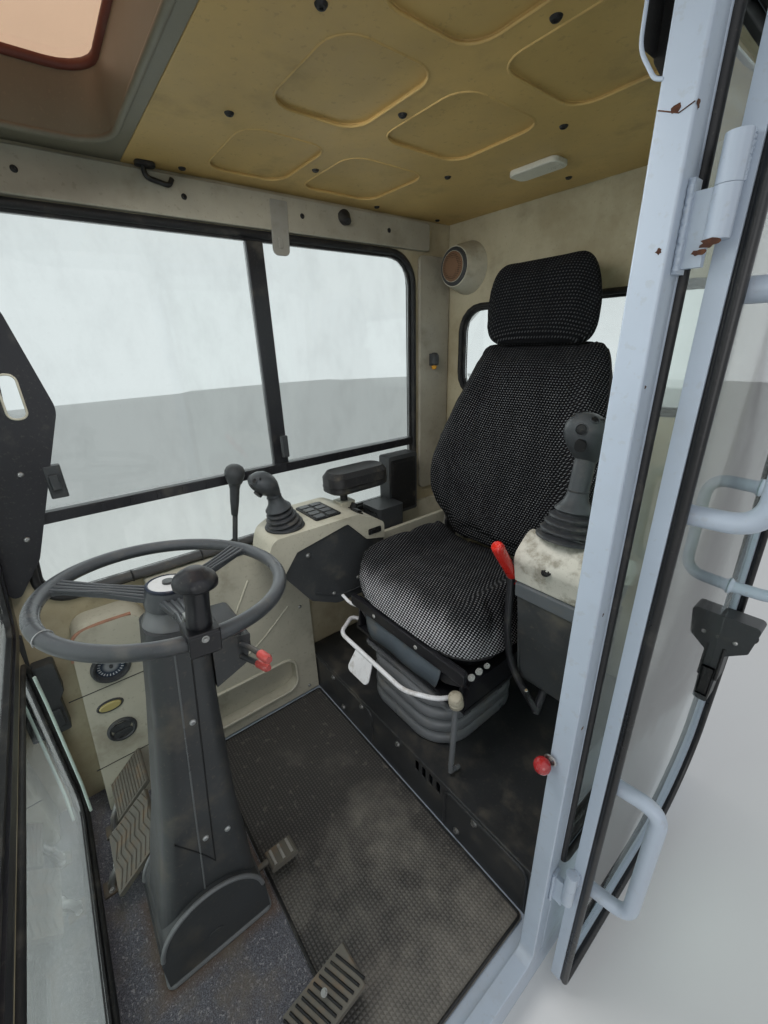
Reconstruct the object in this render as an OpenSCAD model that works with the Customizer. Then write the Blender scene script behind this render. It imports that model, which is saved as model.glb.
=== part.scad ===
// Operator's cab of a wheeled excavator, door open.
// Origin at the centre of the four mounting holes, on the mounting face.
// +X is the operator's left (door side), +Y the rear, +Z up.

/* [Shell] */
// Width over the side frames
cab_w = 1000; // [960:2:1040]
// Thickness of the side, rear and front frames
wall = 31; // [26:1:40]
// Mounting face to the top of the floor plate
floor_h = 80; // [70:1:100]
// Mounting centre to the front face
front_y = 770; // [750:5:800]
// Mounting centre to the rear face
rear_y = 676; // [660:2:720]
// Height of the rail between lower pane and windscreen
knee_h = 640; // [620:5:660]
// Height of the side frames, where the roof sits
eave_h = 1600; // [1580:5:1640]
// Backward lean of the windscreen, degrees
lean = 6; // [4:0.5:8]
// Height of the roof above the eaves
roof_h = 92; // [80:1:110]
// Thickness of the window panes
pane_t = 5; // [4:0.5:6]
// Width of the rubber seal round a pane
seal_w = 14; // [10:1:18]
// Clearance between pieces that only touch
gap = 0.3; // [0.2:0.1:0.5]

/* [Mounting] */
// Hole to hole across the cab
mount_x = 800; // [760:10:820]
// Hole to hole along the cab
mount_y = 1200; // [1160:10:1240]
// Radius of the mounting holes
mount_r = 9; // [8:0.5:11]
// Thickness of the mounting pads
pad_t = 14; // [10:1:20]

/* [Door] */
// Height of the hinge axis above the side frame's face, sideways
hinge_out = 28; // [26:1:34]
// Position of the hinge axis along the cab
hinge_y = -70; // [-74:1:-66]
// Thickness of the door frame
door_t = 18; // [16:1:22]
// Width of the door from hinge axis to free edge
door_w = 646; // [640:1:650]
// Bottom of the door
door_z0 = 30; // [20:1:40]
// Gap between the top of the door and the eaves
door_drop = 20; // [10:1:30]
// Tube radius of the grab handles
grab_r = 12; // [10:0.5:14]

/* [Steering] */
// Sideways place of the steering column
col_x = 0; // [-40:1:40]
// Foot of the column along the cab
col_y = -560; // [-580:1:-550]
// Length of the column from its tilt axis to the wheel
col_l = 716; // [700:1:730]
// Tilt of the column towards the operator, degrees
col_tilt = 6.1; // [4:0.1:9]
// Radius of the wheel to the middle of its rim
wheel_r = 174; // [165:1:190]
// Radius of the rim's section
rim_r = 12; // [11:0.5:15]

/* [Seat] */
// Width of the seat cushion
seat_w = 470; // [440:2:476]
// Depth of the seat cushion
seat_d = 470; // [450:5:490]
// Front edge of the cushion along the cab
seat_y = 0; // [-20:1:20]
// Top of the cushion above the mounting face
seat_h = 600; // [580:1:620]
// Thickness of the cushion
cushion_t = 96; // [80:1:100]
// Height of the backrest
back_h = 600; // [580:5:620]
// Lean of the backrest, degrees
back_lean = 9; // [6:0.5:10]
// Top of the seat pedestal
ped_h = 225; // [215:1:240]

/* [Consoles] */
// Inner face of the consoles, from the cab's middle
con_x = 262; // [256:1:270]
// Width of the consoles
con_w = 140; // [130:1:145]
// How far the left console is swung up, degrees
con_raise = 25; // [20:1:28]
// Left console behind the right one
con_back = 220; // [200:5:240]
// Top of the consoles above the seat cushion
con_rise = 168; // [150:2:180]

/* [Hidden] */

$fn = 48;
half = cab_w / 2;
inner = half - wall;
hinge_x = half + hinge_out;
// Radial play of a pin in its bore
play = 0.05;
// Inner face of the door when open; closed it mirrors about the hinge axis
door_off = 14;
door_in = hinge_x + door_off;
paint = [0.74, 0.78, 0.83];
beige = [0.66, 0.63, 0.55];
dark = [0.22, 0.22, 0.23];
black = [0.08, 0.08, 0.09];
glass = [0.75, 0.85, 0.82, 0.35];

// Corner lists hold [u, v, radius], anticlockwise
function unit(v) = v / norm(v);
function outward(a, b) = let (d = unit(b - a)) [d[1], -d[0]];
function flat(p) = [p[0], p[1]];
function grown(c, d) = let (n = len(c)) [for (i = [0:n - 1])
  let (a = flat(c[(i + n - 1) % n]), b = flat(c[i]), e = flat(c[(i + 1) % n]),
       s1 = outward(a, b), s2 = outward(b, e), k = d / (1 + s1 * s2))
  [b[0] + k * (s1[0] + s2[0]), b[1] + k * (s1[1] + s2[1]),
   c[i][2] > 0 ? max(0.5, c[i][2] + d) : 0]];
function arc(a, b, e, r, n) = let (p = unit(a - b), q = unit(e - b),
    t = acos(p * q), l = r / tan(t / 2), m = b + unit(p + q) * r / sin(t / 2),
    s = b + p * l - m, f = b + q * l - m, a0 = atan2(s[1], s[0]),
    turn = atan2(s[0] * f[1] - s[1] * f[0], s * f))
  [for (j = [0:n]) m + r * [cos(a0 + turn * j / n), sin(a0 + turn * j / n)]];
function rounded(c, n = 6) = let (k = len(c)) [for (i = [0:k - 1])
  let (a = flat(c[(i + k - 1) % k]), b = flat(c[i]), e = flat(c[(i + 1) % k]))
  each (c[i][2] > 0 ? arc(a, b, e, c[i][2], n) : [b])];
function reversed(c) = [for (i = [len(c) - 1:-1:0]) c[i]];
function rect(u0, v0, u1, v1, r = 0) = [[u0, v0, r], [u1, v0, r], [u1, v1, r], [u0, v1, r]];

// Plates cut from a corner list, standing across X, across Y or lying flat
module plate_x(c, x0, x1, n = 6)
  translate([x0, 0, 0]) rotate([90, 0, 90]) linear_extrude(x1 - x0) polygon(rounded(c, n));
module plate_y(c, y0, y1, n = 6)
  translate([0, y1, 0]) rotate([90, 0, 0]) linear_extrude(y1 - y0) polygon(rounded(c, n));
module plate_z(c, z0, z1, n = 6)
  translate([0, 0, z0]) linear_extrude(z1 - z0) polygon(rounded(c, n));
module ring_x(c, w, x0, x1) difference() {
  plate_x(c, x0, x1);
  plate_x(grown(c, -w), x0 - 1, x1 + 1);
}
module ring_y(c, w, y0, y1) difference() {
  plate_y(c, y0, y1);
  plate_y(grown(c, -w), y0 - 1, y1 + 1);
}
module ring_z(c, w, z0, z1) difference() {
  plate_z(c, z0, z1);
  plate_z(grown(c, -w), z0 - 1, z1 + 1);
}
module rod(a, b, r) {
  d = b - a;
  translate(a) rotate([0, acos(d[2] / norm(d)), atan2(d[1], d[0])]) cylinder(h = norm(d), r = r);
}
// A bent tube: corners of the path are rounded to radius b, nv is normal to its plane
function bend(a, m, e, r, n) = let (p = unit(a - m), q = unit(e - m), t = acos(p * q),
    o = m + unit(p + q) * r / sin(t / 2), s = unit(m + p * r / tan(t / 2) - o))
  [for (j = [0:n]) let (w = (180 - t) * j / n) o + r * (cos(w) * s - sin(w) * p)];
function route(p, r, n = 4) = [p[0],
  for (i = [1:len(p) - 2]) each bend(p[i - 1], p[i], p[i + 1], r, n), p[len(p) - 1]];
module tube(path, r, b, nv, sides = 12) {
  p = route(path, b);
  n = len(p);
  v = [for (i = [0:n - 1])
    let (d = unit(p[min(i + 1, n - 1)] - p[max(i - 1, 0)]), w = unit(cross(d, nv)), u = cross(w, d))
    for (k = [0:sides - 1]) p[i] + r * (cos(360 * k / sides) * u + sin(360 * k / sides) * w)];
  f = [for (i = [0:n - 2], k = [0:sides - 1]) let (l = (k + 1) % sides)
    [i * sides + l, i * sides + k, (i + 1) * sides + k, (i + 1) * sides + l]];
  polyhedron(v, concat(f, [[for (k = [0:sides - 1]) k],
    [for (k = [sides - 1:-1:0]) (n - 1) * sides + k]]));
}

// Outlines shared by frames, panes and seals
post_w = 64;
lean_run = (eave_h - knee_h) * tan(lean);
function front_at(z) = -front_y + max(0, z - knee_h) * tan(lean);
side_outline = [[-front_y, floor_h, 0], [rear_y, floor_h, 0], [rear_y, eave_h, 0],
  [front_at(eave_h), eave_h, 0], [-front_y, knee_h, 0]];
sill_h = knee_h + 50;
head_h = eave_h - 110;
right_open = [[front_at(sill_h) + 75, sill_h, 60], [480, sill_h, 60], [480, head_h, 90],
  [front_at(head_h) + 75, head_h, 60]];
quarter_top = eave_h - 100;
quarter_open = [[-52, 350, 30], [600, 350, 60], [600, quarter_top, 80], [-52, quarter_top, 30]];
rear_open = rect(-400, eave_h - 555, 400, eave_h - 265, 80);
lower_open = rect(-428, floor_h + 32, 428, knee_h - 40, 60);
// Front and rear faces of the post behind the door
post_y = -94;
post_back = -61;
doorway_top = eave_h - 50;
doorway = [[front_at(0) + post_w, floor_h + 8, 190], [post_y, floor_h + 8, 20],
  [post_y, doorway_top, 40],
  [front_at(doorway_top) + post_w, doorway_top, 60], [front_at(knee_h) + post_w, knee_h, 90]];
sky_rear = -350;
sky_w = 30;
sky_open = rect(-400, -620, 400, sky_rear, 70);
screen_l = (eave_h - 14 - knee_h) / cos(lean);
screen_open = rect(-425, 34, 425, screen_l - 34, 50);
// Rear face of the windscreen frame behind its front edge
screen_t = 28 / cos(lean) + gap;

module floor_frame() {
  rail = 50;
  plate = 8;
  color(paint) difference() {
    union() {
      difference() {
        plate_z(rect(-half, -front_y, half, rear_y, 20), 0, floor_h);
        for (sx = [-1, 1], by = [[-front_y + rail, -300], [-250, 200], [250, rear_y - rail]])
          translate([sx > 0 ? rail / 2 : -half + rail, by[0], -1])
            cube([half - 1.5 * rail, by[1] - by[0], floor_h - plate + 1]);
      }
      for (sx = [-1, 1], sy = [-1, 1])
        translate([sx * (mount_x / 2 + 5) - 60, sy * mount_y / 2 - 60, 0])
          cube([120, sy > 0 ? rear_y - mount_y / 2 + 20 : 120, pad_t]);
    }
    for (sx = [-1, 1], sy = [-1, 1])
      translate([sx * mount_x / 2, sy * mount_y / 2, -1]) cylinder(h = floor_h + 2, r = mount_r);
  }
}

module right_side_frame() color(beige) difference() {
  plate_x(side_outline, -half, -inner);
  plate_x(right_open, -half - 1, -inner + 1);
}

module left_door_frame() color(paint) difference() {
  intersection() {
    plate_x(side_outline, inner, half);
    translate([inner - 1, -front_y - 1, floor_h])
      cube([wall + 2, front_y + post_back + 1, eave_h]);
  }
  plate_x(doorway, inner - 1, half + 1);
}

module left_quarter_panel() color(paint) difference() {
  translate([inner, post_back + gap, floor_h])
    cube([wall, rear_y - post_back - gap, eave_h - floor_h]);
  plate_x(quarter_open, inner - 1, half + 1);
}

module rear_panel() color(beige) difference() {
  translate([-inner + gap, rear_y - wall, floor_h])
    cube([2 * (inner - gap), wall, eave_h - floor_h]);
  plate_y(rear_open, rear_y - wall - 1, rear_y + 1);
}

module front_frame() color(beige) difference() {
  translate([-inner + gap, -front_y, floor_h])
    cube([2 * (inner - gap), 20, knee_h - floor_h - 4]);
  plate_y(lower_open, -front_y - 1, -front_y + 21);
}

// The windscreen leans back from the knee rail
module leaning() translate([0, -front_y, knee_h]) rotate([-lean, 0, 0]) children();

module windscreen_frame() color(black) leaning() difference() {
  plate_y(rect(-inner + gap, 0, inner - gap, screen_l, 20), 0, 28);
  plate_y(screen_open, -1, 29);
}

module roof_panel() {
  lip = 45;
  skin = 5;
  outline = rect(-half - 4, front_at(eave_h) - 20, half + 4, rear_y + 14, 60);
  color(paint) difference() {
    hull() {
      plate_z(outline, eave_h, eave_h + roof_h / 2);
      plate_z(grown(outline, -lip), eave_h + roof_h - 1, eave_h + roof_h);
    }
    hull() {
      plate_z(grown(outline, -wall - 4), eave_h - 1, eave_h + roof_h / 2 - skin);
      plate_z(grown(outline, -lip - wall), eave_h, eave_h + roof_h - skin);
    }
    plate_z(grown(sky_open, sky_w + gap), eave_h - 2, eave_h + roof_h + 2);
  }
}

liner_z = eave_h - 14;
liner_y = sky_rear + sky_w + gap;
// Pressed panels of the liner: left, right, front and rear edges
emboss_cols = [[-405, -180], [-95, 120], [175, 400]];
emboss_rows = [[-175, 0], [50, 265]];

module roof_liner() color(beige) difference() {
  translate([-inner + gap, liner_y, liner_z])
    cube([2 * (inner - gap), rear_y - wall - gap - liner_y, 10]);
  for (c = emboss_cols, r = emboss_rows)
    plate_z(rect(c[0], r[0], c[1], r[1], 45), liner_z - 1, liner_z + 5);
}

module skylight_frame() color([0.45, 0.42, 0.34]) difference() {
  union() {
    translate([-inner + gap, front_at(eave_h) + 34, liner_z])
      cube([2 * (inner - gap), liner_y - gap - front_at(eave_h) - 34, 10]);
    plate_z(grown(sky_open, sky_w), liner_z, eave_h + roof_h + 2);
  }
  plate_z(sky_open, liner_z - 1, eave_h + roof_h + 3);
}

module skylight_glass() color([0.92, 0.75, 0.6, 0.5])
  plate_z(grown(sky_open, 14), eave_h + roof_h + 2, eave_h + roof_h + 8);

rail_z = 880;
rail_h = 26;
divider = [-74, -30];

module right_window_rail() color(black) intersection() {
  plate_x(grown(right_open, -seal_w - gap), -half, -inner + 12);
  union() {
    translate([-half + 6, -front_y, rail_z]) cube([wall + 4, 1400, rail_h]);
    translate([-half + 8, divider[0], rail_z]) cube([wall - 8, divider[1] - divider[0], head_h - rail_z]);
  }
}

module right_window_glass() {
  pane_x = -half + 14;
  bays = [[-front_y, sill_h - 9, 480, rail_z - gap],
    [-front_y, rail_z + rail_h + gap, divider[0] - gap, head_h],
    [divider[1] + gap, rail_z + rail_h + gap, 480, head_h]];
  color(glass) for (b = bays) intersection() {
    plate_x(grown(right_open, -seal_w - gap), pane_x, pane_x + pane_t);
    translate([pane_x - 1, b[0], b[1]]) cube([pane_t + 2, b[2] - b[0], b[3] - b[1]]);
  }
}

module quarter_glass() color(glass)
  plate_x(grown(quarter_open, -seal_w - gap), half - 18, half - 18 + pane_t);

module rear_glass() color(glass)
  plate_y(grown(rear_open, -seal_w - gap), rear_y - 18, rear_y - 18 + pane_t);

module windscreen_glass() color(glass) leaning()
  plate_y(grown(screen_open, -seal_w - gap), 10, 10 + pane_t);

module front_lower_glass() color(glass)
  plate_y(grown(lower_open, -seal_w - gap), -front_y + 8, -front_y + 8 + pane_t);

module window_seals() color(black) {
  ring_x(grown(right_open, -gap), seal_w - gap, -half + 8, -inner - 4);
  ring_x(grown(quarter_open, -gap), seal_w - gap, inner + 4, half - 6);
  ring_y(grown(rear_open, -gap), seal_w - gap, rear_y - wall + 4, rear_y - 6);
  ring_y(grown(lower_open, -gap), seal_w - gap, -front_y + 2, -front_y + 18);
  leaning() ring_y(grown(screen_open, -gap), seal_w - gap, 4, 24);
}

// The door is drawn open, lying back along the quarter panel
door_edge = hinge_y + 12;
door_free = hinge_y + door_w;
door_z1 = eave_h - door_drop;
door_rim = 24;
door_outline = [[door_edge, door_z0, 12], [door_free - 8, door_z0, 250],
  [door_free, knee_h, 100], [door_free - (door_z1 - knee_h) * tan(lean), door_z1, 60],
  [door_edge, door_z1, 12]];
pane_x = door_in - 11;

// Hinges: foot of the barrel, height of the post's half, height of the door's half
hinge_zs = [305, door_z1 - 275];
barrel_r = 10;
pin_r = 5;
post_half = 40;
door_half = 36;

module door_frame() color(paint) difference() {
  union() {
    ring_x(door_outline, door_rim, door_in - door_t, door_in);
    for (z = hinge_zs) translate([hinge_x, hinge_y, z + post_half + gap]) {
      cylinder(h = door_half - gap, r = barrel_r);
      translate([-2, 0, 0]) cube([9, door_edge - hinge_y + 2, door_half - gap]);
    }
  }
  for (z = hinge_zs)
    translate([hinge_x, hinge_y, z]) cylinder(h = post_half + door_half + 1, r = pin_r + play);
}

module door_hinges() color(paint) for (z = hinge_zs) {
  translate([hinge_x, hinge_y, z]) {
    cylinder(h = post_half, r = barrel_r);
    cylinder(h = post_half + door_half, r = pin_r);
    translate([half + gap - hinge_x, -4, -20]) cube([hinge_out - 7, 8, post_half + 20]);
    translate([half + gap - hinge_x, -9, -24]) cube([5, 17, post_half + 34]);
  }
}

// The latch stands in a notch of the pane: rear, front, bottom and top
latch = [500, 547, 400, 640];

module door_glass() color(glass) difference() {
  plate_x(grown(door_outline, -door_rim - gap), pane_x, pane_x + pane_t);
  plate_x(rect(latch[0] - gap, latch[2] - gap, latch[1] + 20, latch[3] + gap),
    pane_x - 1, pane_x + pane_t + 1);
}

module door_seal() color(black)
  ring_x(grown(door_outline, -1), 11, door_in + gap, door_in + door_off - gap);

// Grab handles: lower foot, upper foot, reach, place along the door, face they stand on
grabs = [[320, 590, 74, -32, door_in], [1035, 1265, 80, -32, door_in],
  [750, 960, 84, 430, pane_x + pane_t]];

module door_grab_handles() color(paint)
  for (g = grabs) {
    foot = g[4] + gap;
    for (z = [g[0], g[1]]) translate([foot, g[3], z]) rotate([0, 90, 0]) cylinder(h = 5, r = grab_r + 1.5);
    tube([[foot + 3, g[3], g[0]], [door_in + g[2], g[3] + 8, g[0]],
      [door_in + g[2], g[3] + 8, g[1]], [foot + 3, g[3], g[1]]], grab_r, 40,
      unit([-8, door_in + g[2] - foot, 0]));
  }

module door_latch() color(black)
  plate_y([[door_in - 23, latch[2], 6], [door_in + 8, latch[2], 6], [door_in + 12, 540, 10],
    [door_in + 50, 570, 8], [door_in + 60, latch[3], 10], [door_in - 23, latch[3], 10]],
    latch[0], latch[1]);

module floor_mat() color(black)
  plate_z([[-400, -440, 10], [446, -440, 10], [446, -46, 10], [-400, -46, 10]],
    floor_h + gap, floor_h + 7);

// Base of the steering column: width, depth and dome about the tilt axis
foot_w = 170;
foot_d = 204;
dome_r = 98;
tilt_z = 165;

module front_carpet() color([0.36, 0.36, 0.42]) difference() {
  translate([-inner + 2, -front_y + 22, floor_h + gap])
    cube([2 * inner - 20, front_y - 22 - 441, 6]);
  translate([col_x - foot_w / 2 - gap, col_y - foot_d / 2 - gap, floor_h - 1])
    cube([foot_w + 2 * gap, foot_d + 2 * gap, 20]);
}

module dash_panel() color(beige) difference() {
  plate_x([[-702, floor_h + 7, 10], [-500, floor_h + 7, 10], [-480, 560, 40],
    [-520, 640, 50], [-650, 640, 40], [-664, 560, 20]], -inner + gap, -inner + 90);
  translate([-inner + 30, -600, 520]) rotate([0, 90, 0]) cylinder(h = 100, r = 34);
}

module right_side_trim() color(beige) difference() {
  plate_x([[-479, floor_h + 7.3, 4], [-44, floor_h + 7.3, 4], [-44, 470, 30],
    [-200, sill_h - 4, 40], [-479, sill_h - 4, 10]], -inner + gap, -inner + 60);
  plate_x(rect(-440, 130, -120, 260, 40), -inner + 20, -inner + 61);
}

// Side profiles of the consoles in the working position: the cover meets the box along a seam
cover_top = seat_h + con_rise;
cover_nose = [[-196, cover_top, 30], [-222, cover_top - 60, 30]];
seam = [[-180, cover_top - 114, 6], [-134, cover_top - 54, 6], [33, cover_top - 20, 12],
  [98, cover_top - 88, 8], [166, cover_top - 104, 4]];
cover_profile = concat(seam, [[166, cover_top - 50, 20], [70, cover_top, 60]], cover_nose);
box_profile = concat([[-105, 545, 40], [-18, 500, 60], [140, 500, 20]], reversed(seam));
armrest_y = 110;
armrest_z = cover_top;
// Front of the right console in plan, cut back beside the shift lever
con_plan = [[-con_x + 1, -240, 0], [-con_x + 1, 200, 0], [-inner + gap, 200, 0],
  [-inner + gap, -110, 0], [-440, -120, 20], [-345, -240, 0]];

module right_console() color(beige) {
  intersection() {
    plate_x(cover_profile, -inner + gap, -con_x);
    plate_z(reversed(con_plan), 400, 900);
  }
  translate([-420, armrest_y - 25, armrest_z - 40]) cube([50, 50, 40]);
}

module right_console_side() color(dark) intersection() {
  plate_x(grown(box_profile, -gap), -con_x - con_w, -con_x - 4);
  plate_z(reversed(con_plan), 400, 900);
}

module right_rear_tray() color(beige) difference() {
  translate([-inner + gap, 164, 500]) cube([150, 474, 150]);
  translate([-inner + 16, 200, 560]) cube([120, 420, 100]);
}

// Bellows, flared foot, shaft and a head bent towards the front; the tilted bellows are cut off
// level with the base plate
module joystick(tilt, shaft) {
  rings = 3;
  top = 10 + 16 * rings;
  base_r = 54;
  cylinder(h = 7, r = base_r);
  difference() {
    rotate([tilt, 0, 0]) {
      rotate_extrude() polygon([[0, 4],
        for (i = [0:rings - 1]) each [[50 - 6 * i, 4 + 16 * i], [42 - 6 * i, 15 + 16 * i]],
        [36, top], [30, top + 12], [17, top + 28], [16, top + shaft], [0, top + shaft]]);
      translate([0, 0, top + shaft - 8]) rotate([24, 0, 0]) rotate_extrude()
        polygon([[0, -14], [17, -8], [29, 12], [34, 34], [31, 54], [20, 68], [0, 74]]);
    }
    translate([-base_r - 10, -base_r - 10, -40]) cube([2 * base_r + 20, 2 * base_r + 20, 40]);
  }
}
stick_x = con_x + 66;
stick_y = -130;

module right_joystick() color(dark)
  translate([-stick_x, stick_y, cover_top + gap]) joystick(12, 58);

module shift_lever() color(dark) {
  translate([-436, -240, sill_h - 4 + gap]) cylinder(h = 34, r1 = 26, r2 = 12);
  rod([-436, -240, sill_h + 20], [-418, -215, 900], 7);
  translate([-418, -215, 905]) sphere(22);
}

module armrest() color(black) {
  pad_z = armrest_z + 38;
  hull() {
    plate_z(rect(-445, 50, -345, 268, 40), pad_z, pad_z + 44);
    plate_z(rect(-435, 62, -355, 256, 34), pad_z - 8, pad_z + 60);
  }
  rod([-395, armrest_y, armrest_z + gap], [-395, armrest_y, pad_z - 8], 12);
}

module monitor_box() color(black)
  plate_x(rect(310, 650 + gap, 440, 866, 8), -inner + 6, -inner + 60);

module speaker_pod() color(beige) {
  translate([-378, rear_y - wall - gap, eave_h - 150]) rotate([90, 0, 0]) cylinder(h = 70, r1 = 78, r2 = 58);
  translate([-378, rear_y - wall - 69, eave_h - 150]) rotate([90, 0, 0]) cylinder(h = 8, r = 44);
}

module grip_plate() color(black) difference() {
  plate_x([[front_at(700) + screen_t, 700, 12], [-659, 810, 40], [-547, 1122, 60],
    [-585, 1309, 40], [front_at(1400) + screen_t, 1400, 20]], -inner + 14, -inner + 22);
  plate_x([[-628, 1110, 14], [-596, 1110, 14], [-596, 1196, 14], [-628, 1196, 14]],
    -inner + 13, -inner + 23);
}

// Everything above the column's foot leans with it
module on_column() translate([col_x, col_y, tilt_z]) rotate([-col_tilt, 0, 0]) children();

module column_foot() color(dark) {
  translate([col_x - foot_w / 2, col_y - foot_d / 2, floor_h + gap])
    cube([foot_w, foot_d, tilt_z - floor_h - gap]);
  intersection() {
    translate([col_x - foot_w / 2, col_y, tilt_z]) rotate([0, 90, 0])
      cylinder(h = foot_w, r = dome_r, $fn = 96);
    translate([col_x - foot_w / 2, col_y - foot_d / 2, tilt_z - 5])
      cube([foot_w, foot_d, dome_r + 10]);
  }
}

shaft_r = 9;
// Stations of the cover: height above the tilt axis, half width and half depth
stations = [[38, 72, 92], [150, 68, 80], [270, 60, 66], [500, 52, 52], [col_l - 60, 46, 46]];

module column_cover() color(dark) on_column() difference() {
  union() {
    for (i = [0:len(stations) - 2]) hull() for (t = [stations[i], stations[i + 1]])
      translate([0, 0, t[0]]) linear_extrude(1)
        polygon(rounded(rect(-t[1], -t[2], t[1], t[2], 28)));
    translate([0, 0, col_l - 61]) cylinder(h = 41, r = 26);
    translate([0, 0, col_l - 61]) cylinder(h = 71, r = shaft_r);
  }
  translate([-foot_w, 0, 0]) rotate([0, 90, 0]) cylinder(h = 2 * foot_w, r = dome_r + gap, $fn = 96);
}

module steering_wheel() color([0.3, 0.31, 0.33]) on_column() translate([0, 0, col_l]) {
  rotate_extrude() translate([wheel_r, 0]) circle(rim_r);
  difference() {
    translate([0, 0, -20 + gap]) cylinder(h = 40, r = 38);
    translate([0, 0, -21]) cylinder(h = 32, r = shaft_r + play);
  }
  for (a = [0, 120, 240]) rotate([0, 0, a]) rod([30, 0, 0], [wheel_r - 4, 0, 0], 9);
  translate([wheel_r - 6, 0, -16]) cylinder(h = 94, r = 16);
  translate([wheel_r - 6, 0, 68]) cylinder(h = 24, r1 = 28, r2 = 18);
}

// Switch box behind the column, under the wheel: its foot and top above the tilt axis
switch_zs = [515, 612];
function cover_rear(z) = lookup(z, [for (t = stations) [t[0], t[2]]]) + gap;
module column_switch_box() color(dark) on_column()
  plate_x([[cover_rear(switch_zs[0]), switch_zs[0], 0], [108, switch_zs[0] + 30, 12],
    [116, switch_zs[1] - 10, 6], [cover_rear(switch_zs[1]), switch_zs[1], 0]], -36, 36);

pedal_z = floor_h + 6 + 2 * gap;
module front_pedals() color(dark) {
  plate_x([[-702, 140, 4], [-606, 225, 4], [-614, 234, 4], [-710, 149, 4]], -255, -106);
  rod([-180, -690, 158], [-180, -725, pedal_z + 4], 8);
  translate([-198, -742, pedal_z]) cube([36, 36, 6]);
  plate_x([[-676, 165, 4], [-596, 240, 4], [-604, 248, 4], [-684, 173, 4]], -378, -262);
  rod([-320, -670, 178], [-320, -700, pedal_z + 4], 8);
  translate([-338, -720, pedal_z]) cube([36, 36, 6]);
}

module left_pedal() color(dark) {
  plate_x([[-510, 98, 4], [-376, 142, 4], [-380, 154, 4], [-514, 110, 4]], 262, 337);
  rod([300, -450, pedal_z], [300, -450, 122], 10);
}

module column_tilt_pedal() color([0.5, 0.5, 0.5]) {
  plate_x(rect(-434, 136, -370, 152, 6), 18, 60);
  rod([34, -425, 144], [34, col_y + foot_d / 2 + gap, 144], 6);
}

// Front of the sheet-metal pedestal, and the heater tower behind the seat
ped_y = -40;
sheet = 4;
tower_y = 500;
tower_half = 310;

module seat_pedestal() color(dark) difference() {
  back = rear_y - wall - 6;
  union() {
    translate([-inner + 4, ped_y, floor_h]) cube([2 * inner - 24, back - ped_y, ped_h - floor_h]);
    translate([-tower_half, tower_y, floor_h]) cube([2 * tower_half, back - tower_y, 400]);
  }
  translate([-inner + 4 + sheet, ped_y + sheet, floor_h - 1])
    cube([2 * (inner - sheet) - 24, back - ped_y - 2 * sheet, ped_h - floor_h - sheet + 1]);
  translate([-tower_half + sheet, tower_y + sheet, floor_h])
    cube([2 * (tower_half - sheet), back - tower_y - 2 * sheet, 400 - sheet]);
  for (i = [0:3]) translate([100 + 26 * i, ped_y - 20, ped_h - 50]) cube([14, 60, 34]);
}

bellows_top = 395;
module seat_bellows() {
  folds = 4;
  pitch = (bellows_top - ped_h - gap) / folds;
  color([0.25, 0.26, 0.27]) for (i = [0:folds - 1]) {
    z = ped_h + gap + i * pitch;
    plate_z(rect(-172, 10, 172, 350, 40), z, z + pitch * 0.6);
    plate_z(rect(-160, 22, 160, 338, 34), z + pitch * 0.6, z + pitch);
  }
  color(dark) translate([-180, 10, bellows_top]) cube([360, 350, 8]);
}

slide_z = bellows_top + 8 + gap;
rail_x = 150;
recline = [445, seat_h + 44];
recline_r = 10;
con_pivot = [330, seat_h];
con_pin_r = 8;
// Plate of the seat frame that carries the left console
carrier_x = con_x + 48;

module seat_frame() color(dark) {
  pan_z = seat_h - cushion_t - gap;
  for (sx = [-1, 1]) {
    translate([sx * rail_x - 18, 20, slide_z]) cube([36, 400, 22]);
    plate_x([[seat_y + 10, slide_z + 31, 4], [seat_y + 450, slide_z + 31, 4],
      [seat_y + 450, pan_z, 4], [seat_y + 30, pan_z, 20]], sx * 208 - 5, sx * 208 + 5);
    plate_x([[recline[0] - 30, slide_z + 24, 6], [recline[0] + 30, slide_z + 24, 6],
      [recline[0] + 22, recline[1] + 20, 18], [recline[0] - 22, recline[1] + 20, 18]],
      sx * 243 - 4, sx * 243 + 4);
    translate([sx * 227 - 20, recline[0] - 30, slide_z + 22]) cube([40, 60, 10]);
    rod([sx * 245, recline[0], recline[1]], [sx * 200, recline[0], recline[1]], recline_r);
  }
  translate([-215, seat_y + 10, slide_z + 22]) cube([430, 450, 10]);
  translate([-215, seat_y + 20, pan_z - 8]) cube([430, 430, 8]);
  translate([200, con_pivot[0] - 25, slide_z + 22]) cube([carrier_x + 8 - 200, 50, 10]);
  plate_x(rect(con_pivot[0] - 25, slide_z + 22, con_pivot[0] + 25, con_pivot[1] + 20, 10),
    carrier_x, carrier_x + 8);
  rod([carrier_x + 4, con_pivot[0], con_pivot[1]], [con_x + 74, con_pivot[0], con_pivot[1]],
    con_pin_r);
}

module seat_cushion() color(black) hull() {
  c = rect(-seat_w / 2, seat_y, seat_w / 2, seat_y + seat_d, 60);
  plate_z(grown(c, -14), seat_h - cushion_t, seat_h - cushion_t + 10);
  plate_z(c, seat_h - cushion_t * 0.7, seat_h - cushion_t * 0.35);
  plate_z(grown(c, -30), seat_h - 4, seat_h);
}

back_z = seat_h + 24;
module on_back() translate([0, 400, back_z]) rotate([-back_lean, 0, 0]) children();

// Half widths of the backrest at its foot, its bolsters and its shoulders
back_foot = 215;
back_wide = 248;
back_top = 180;

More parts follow.
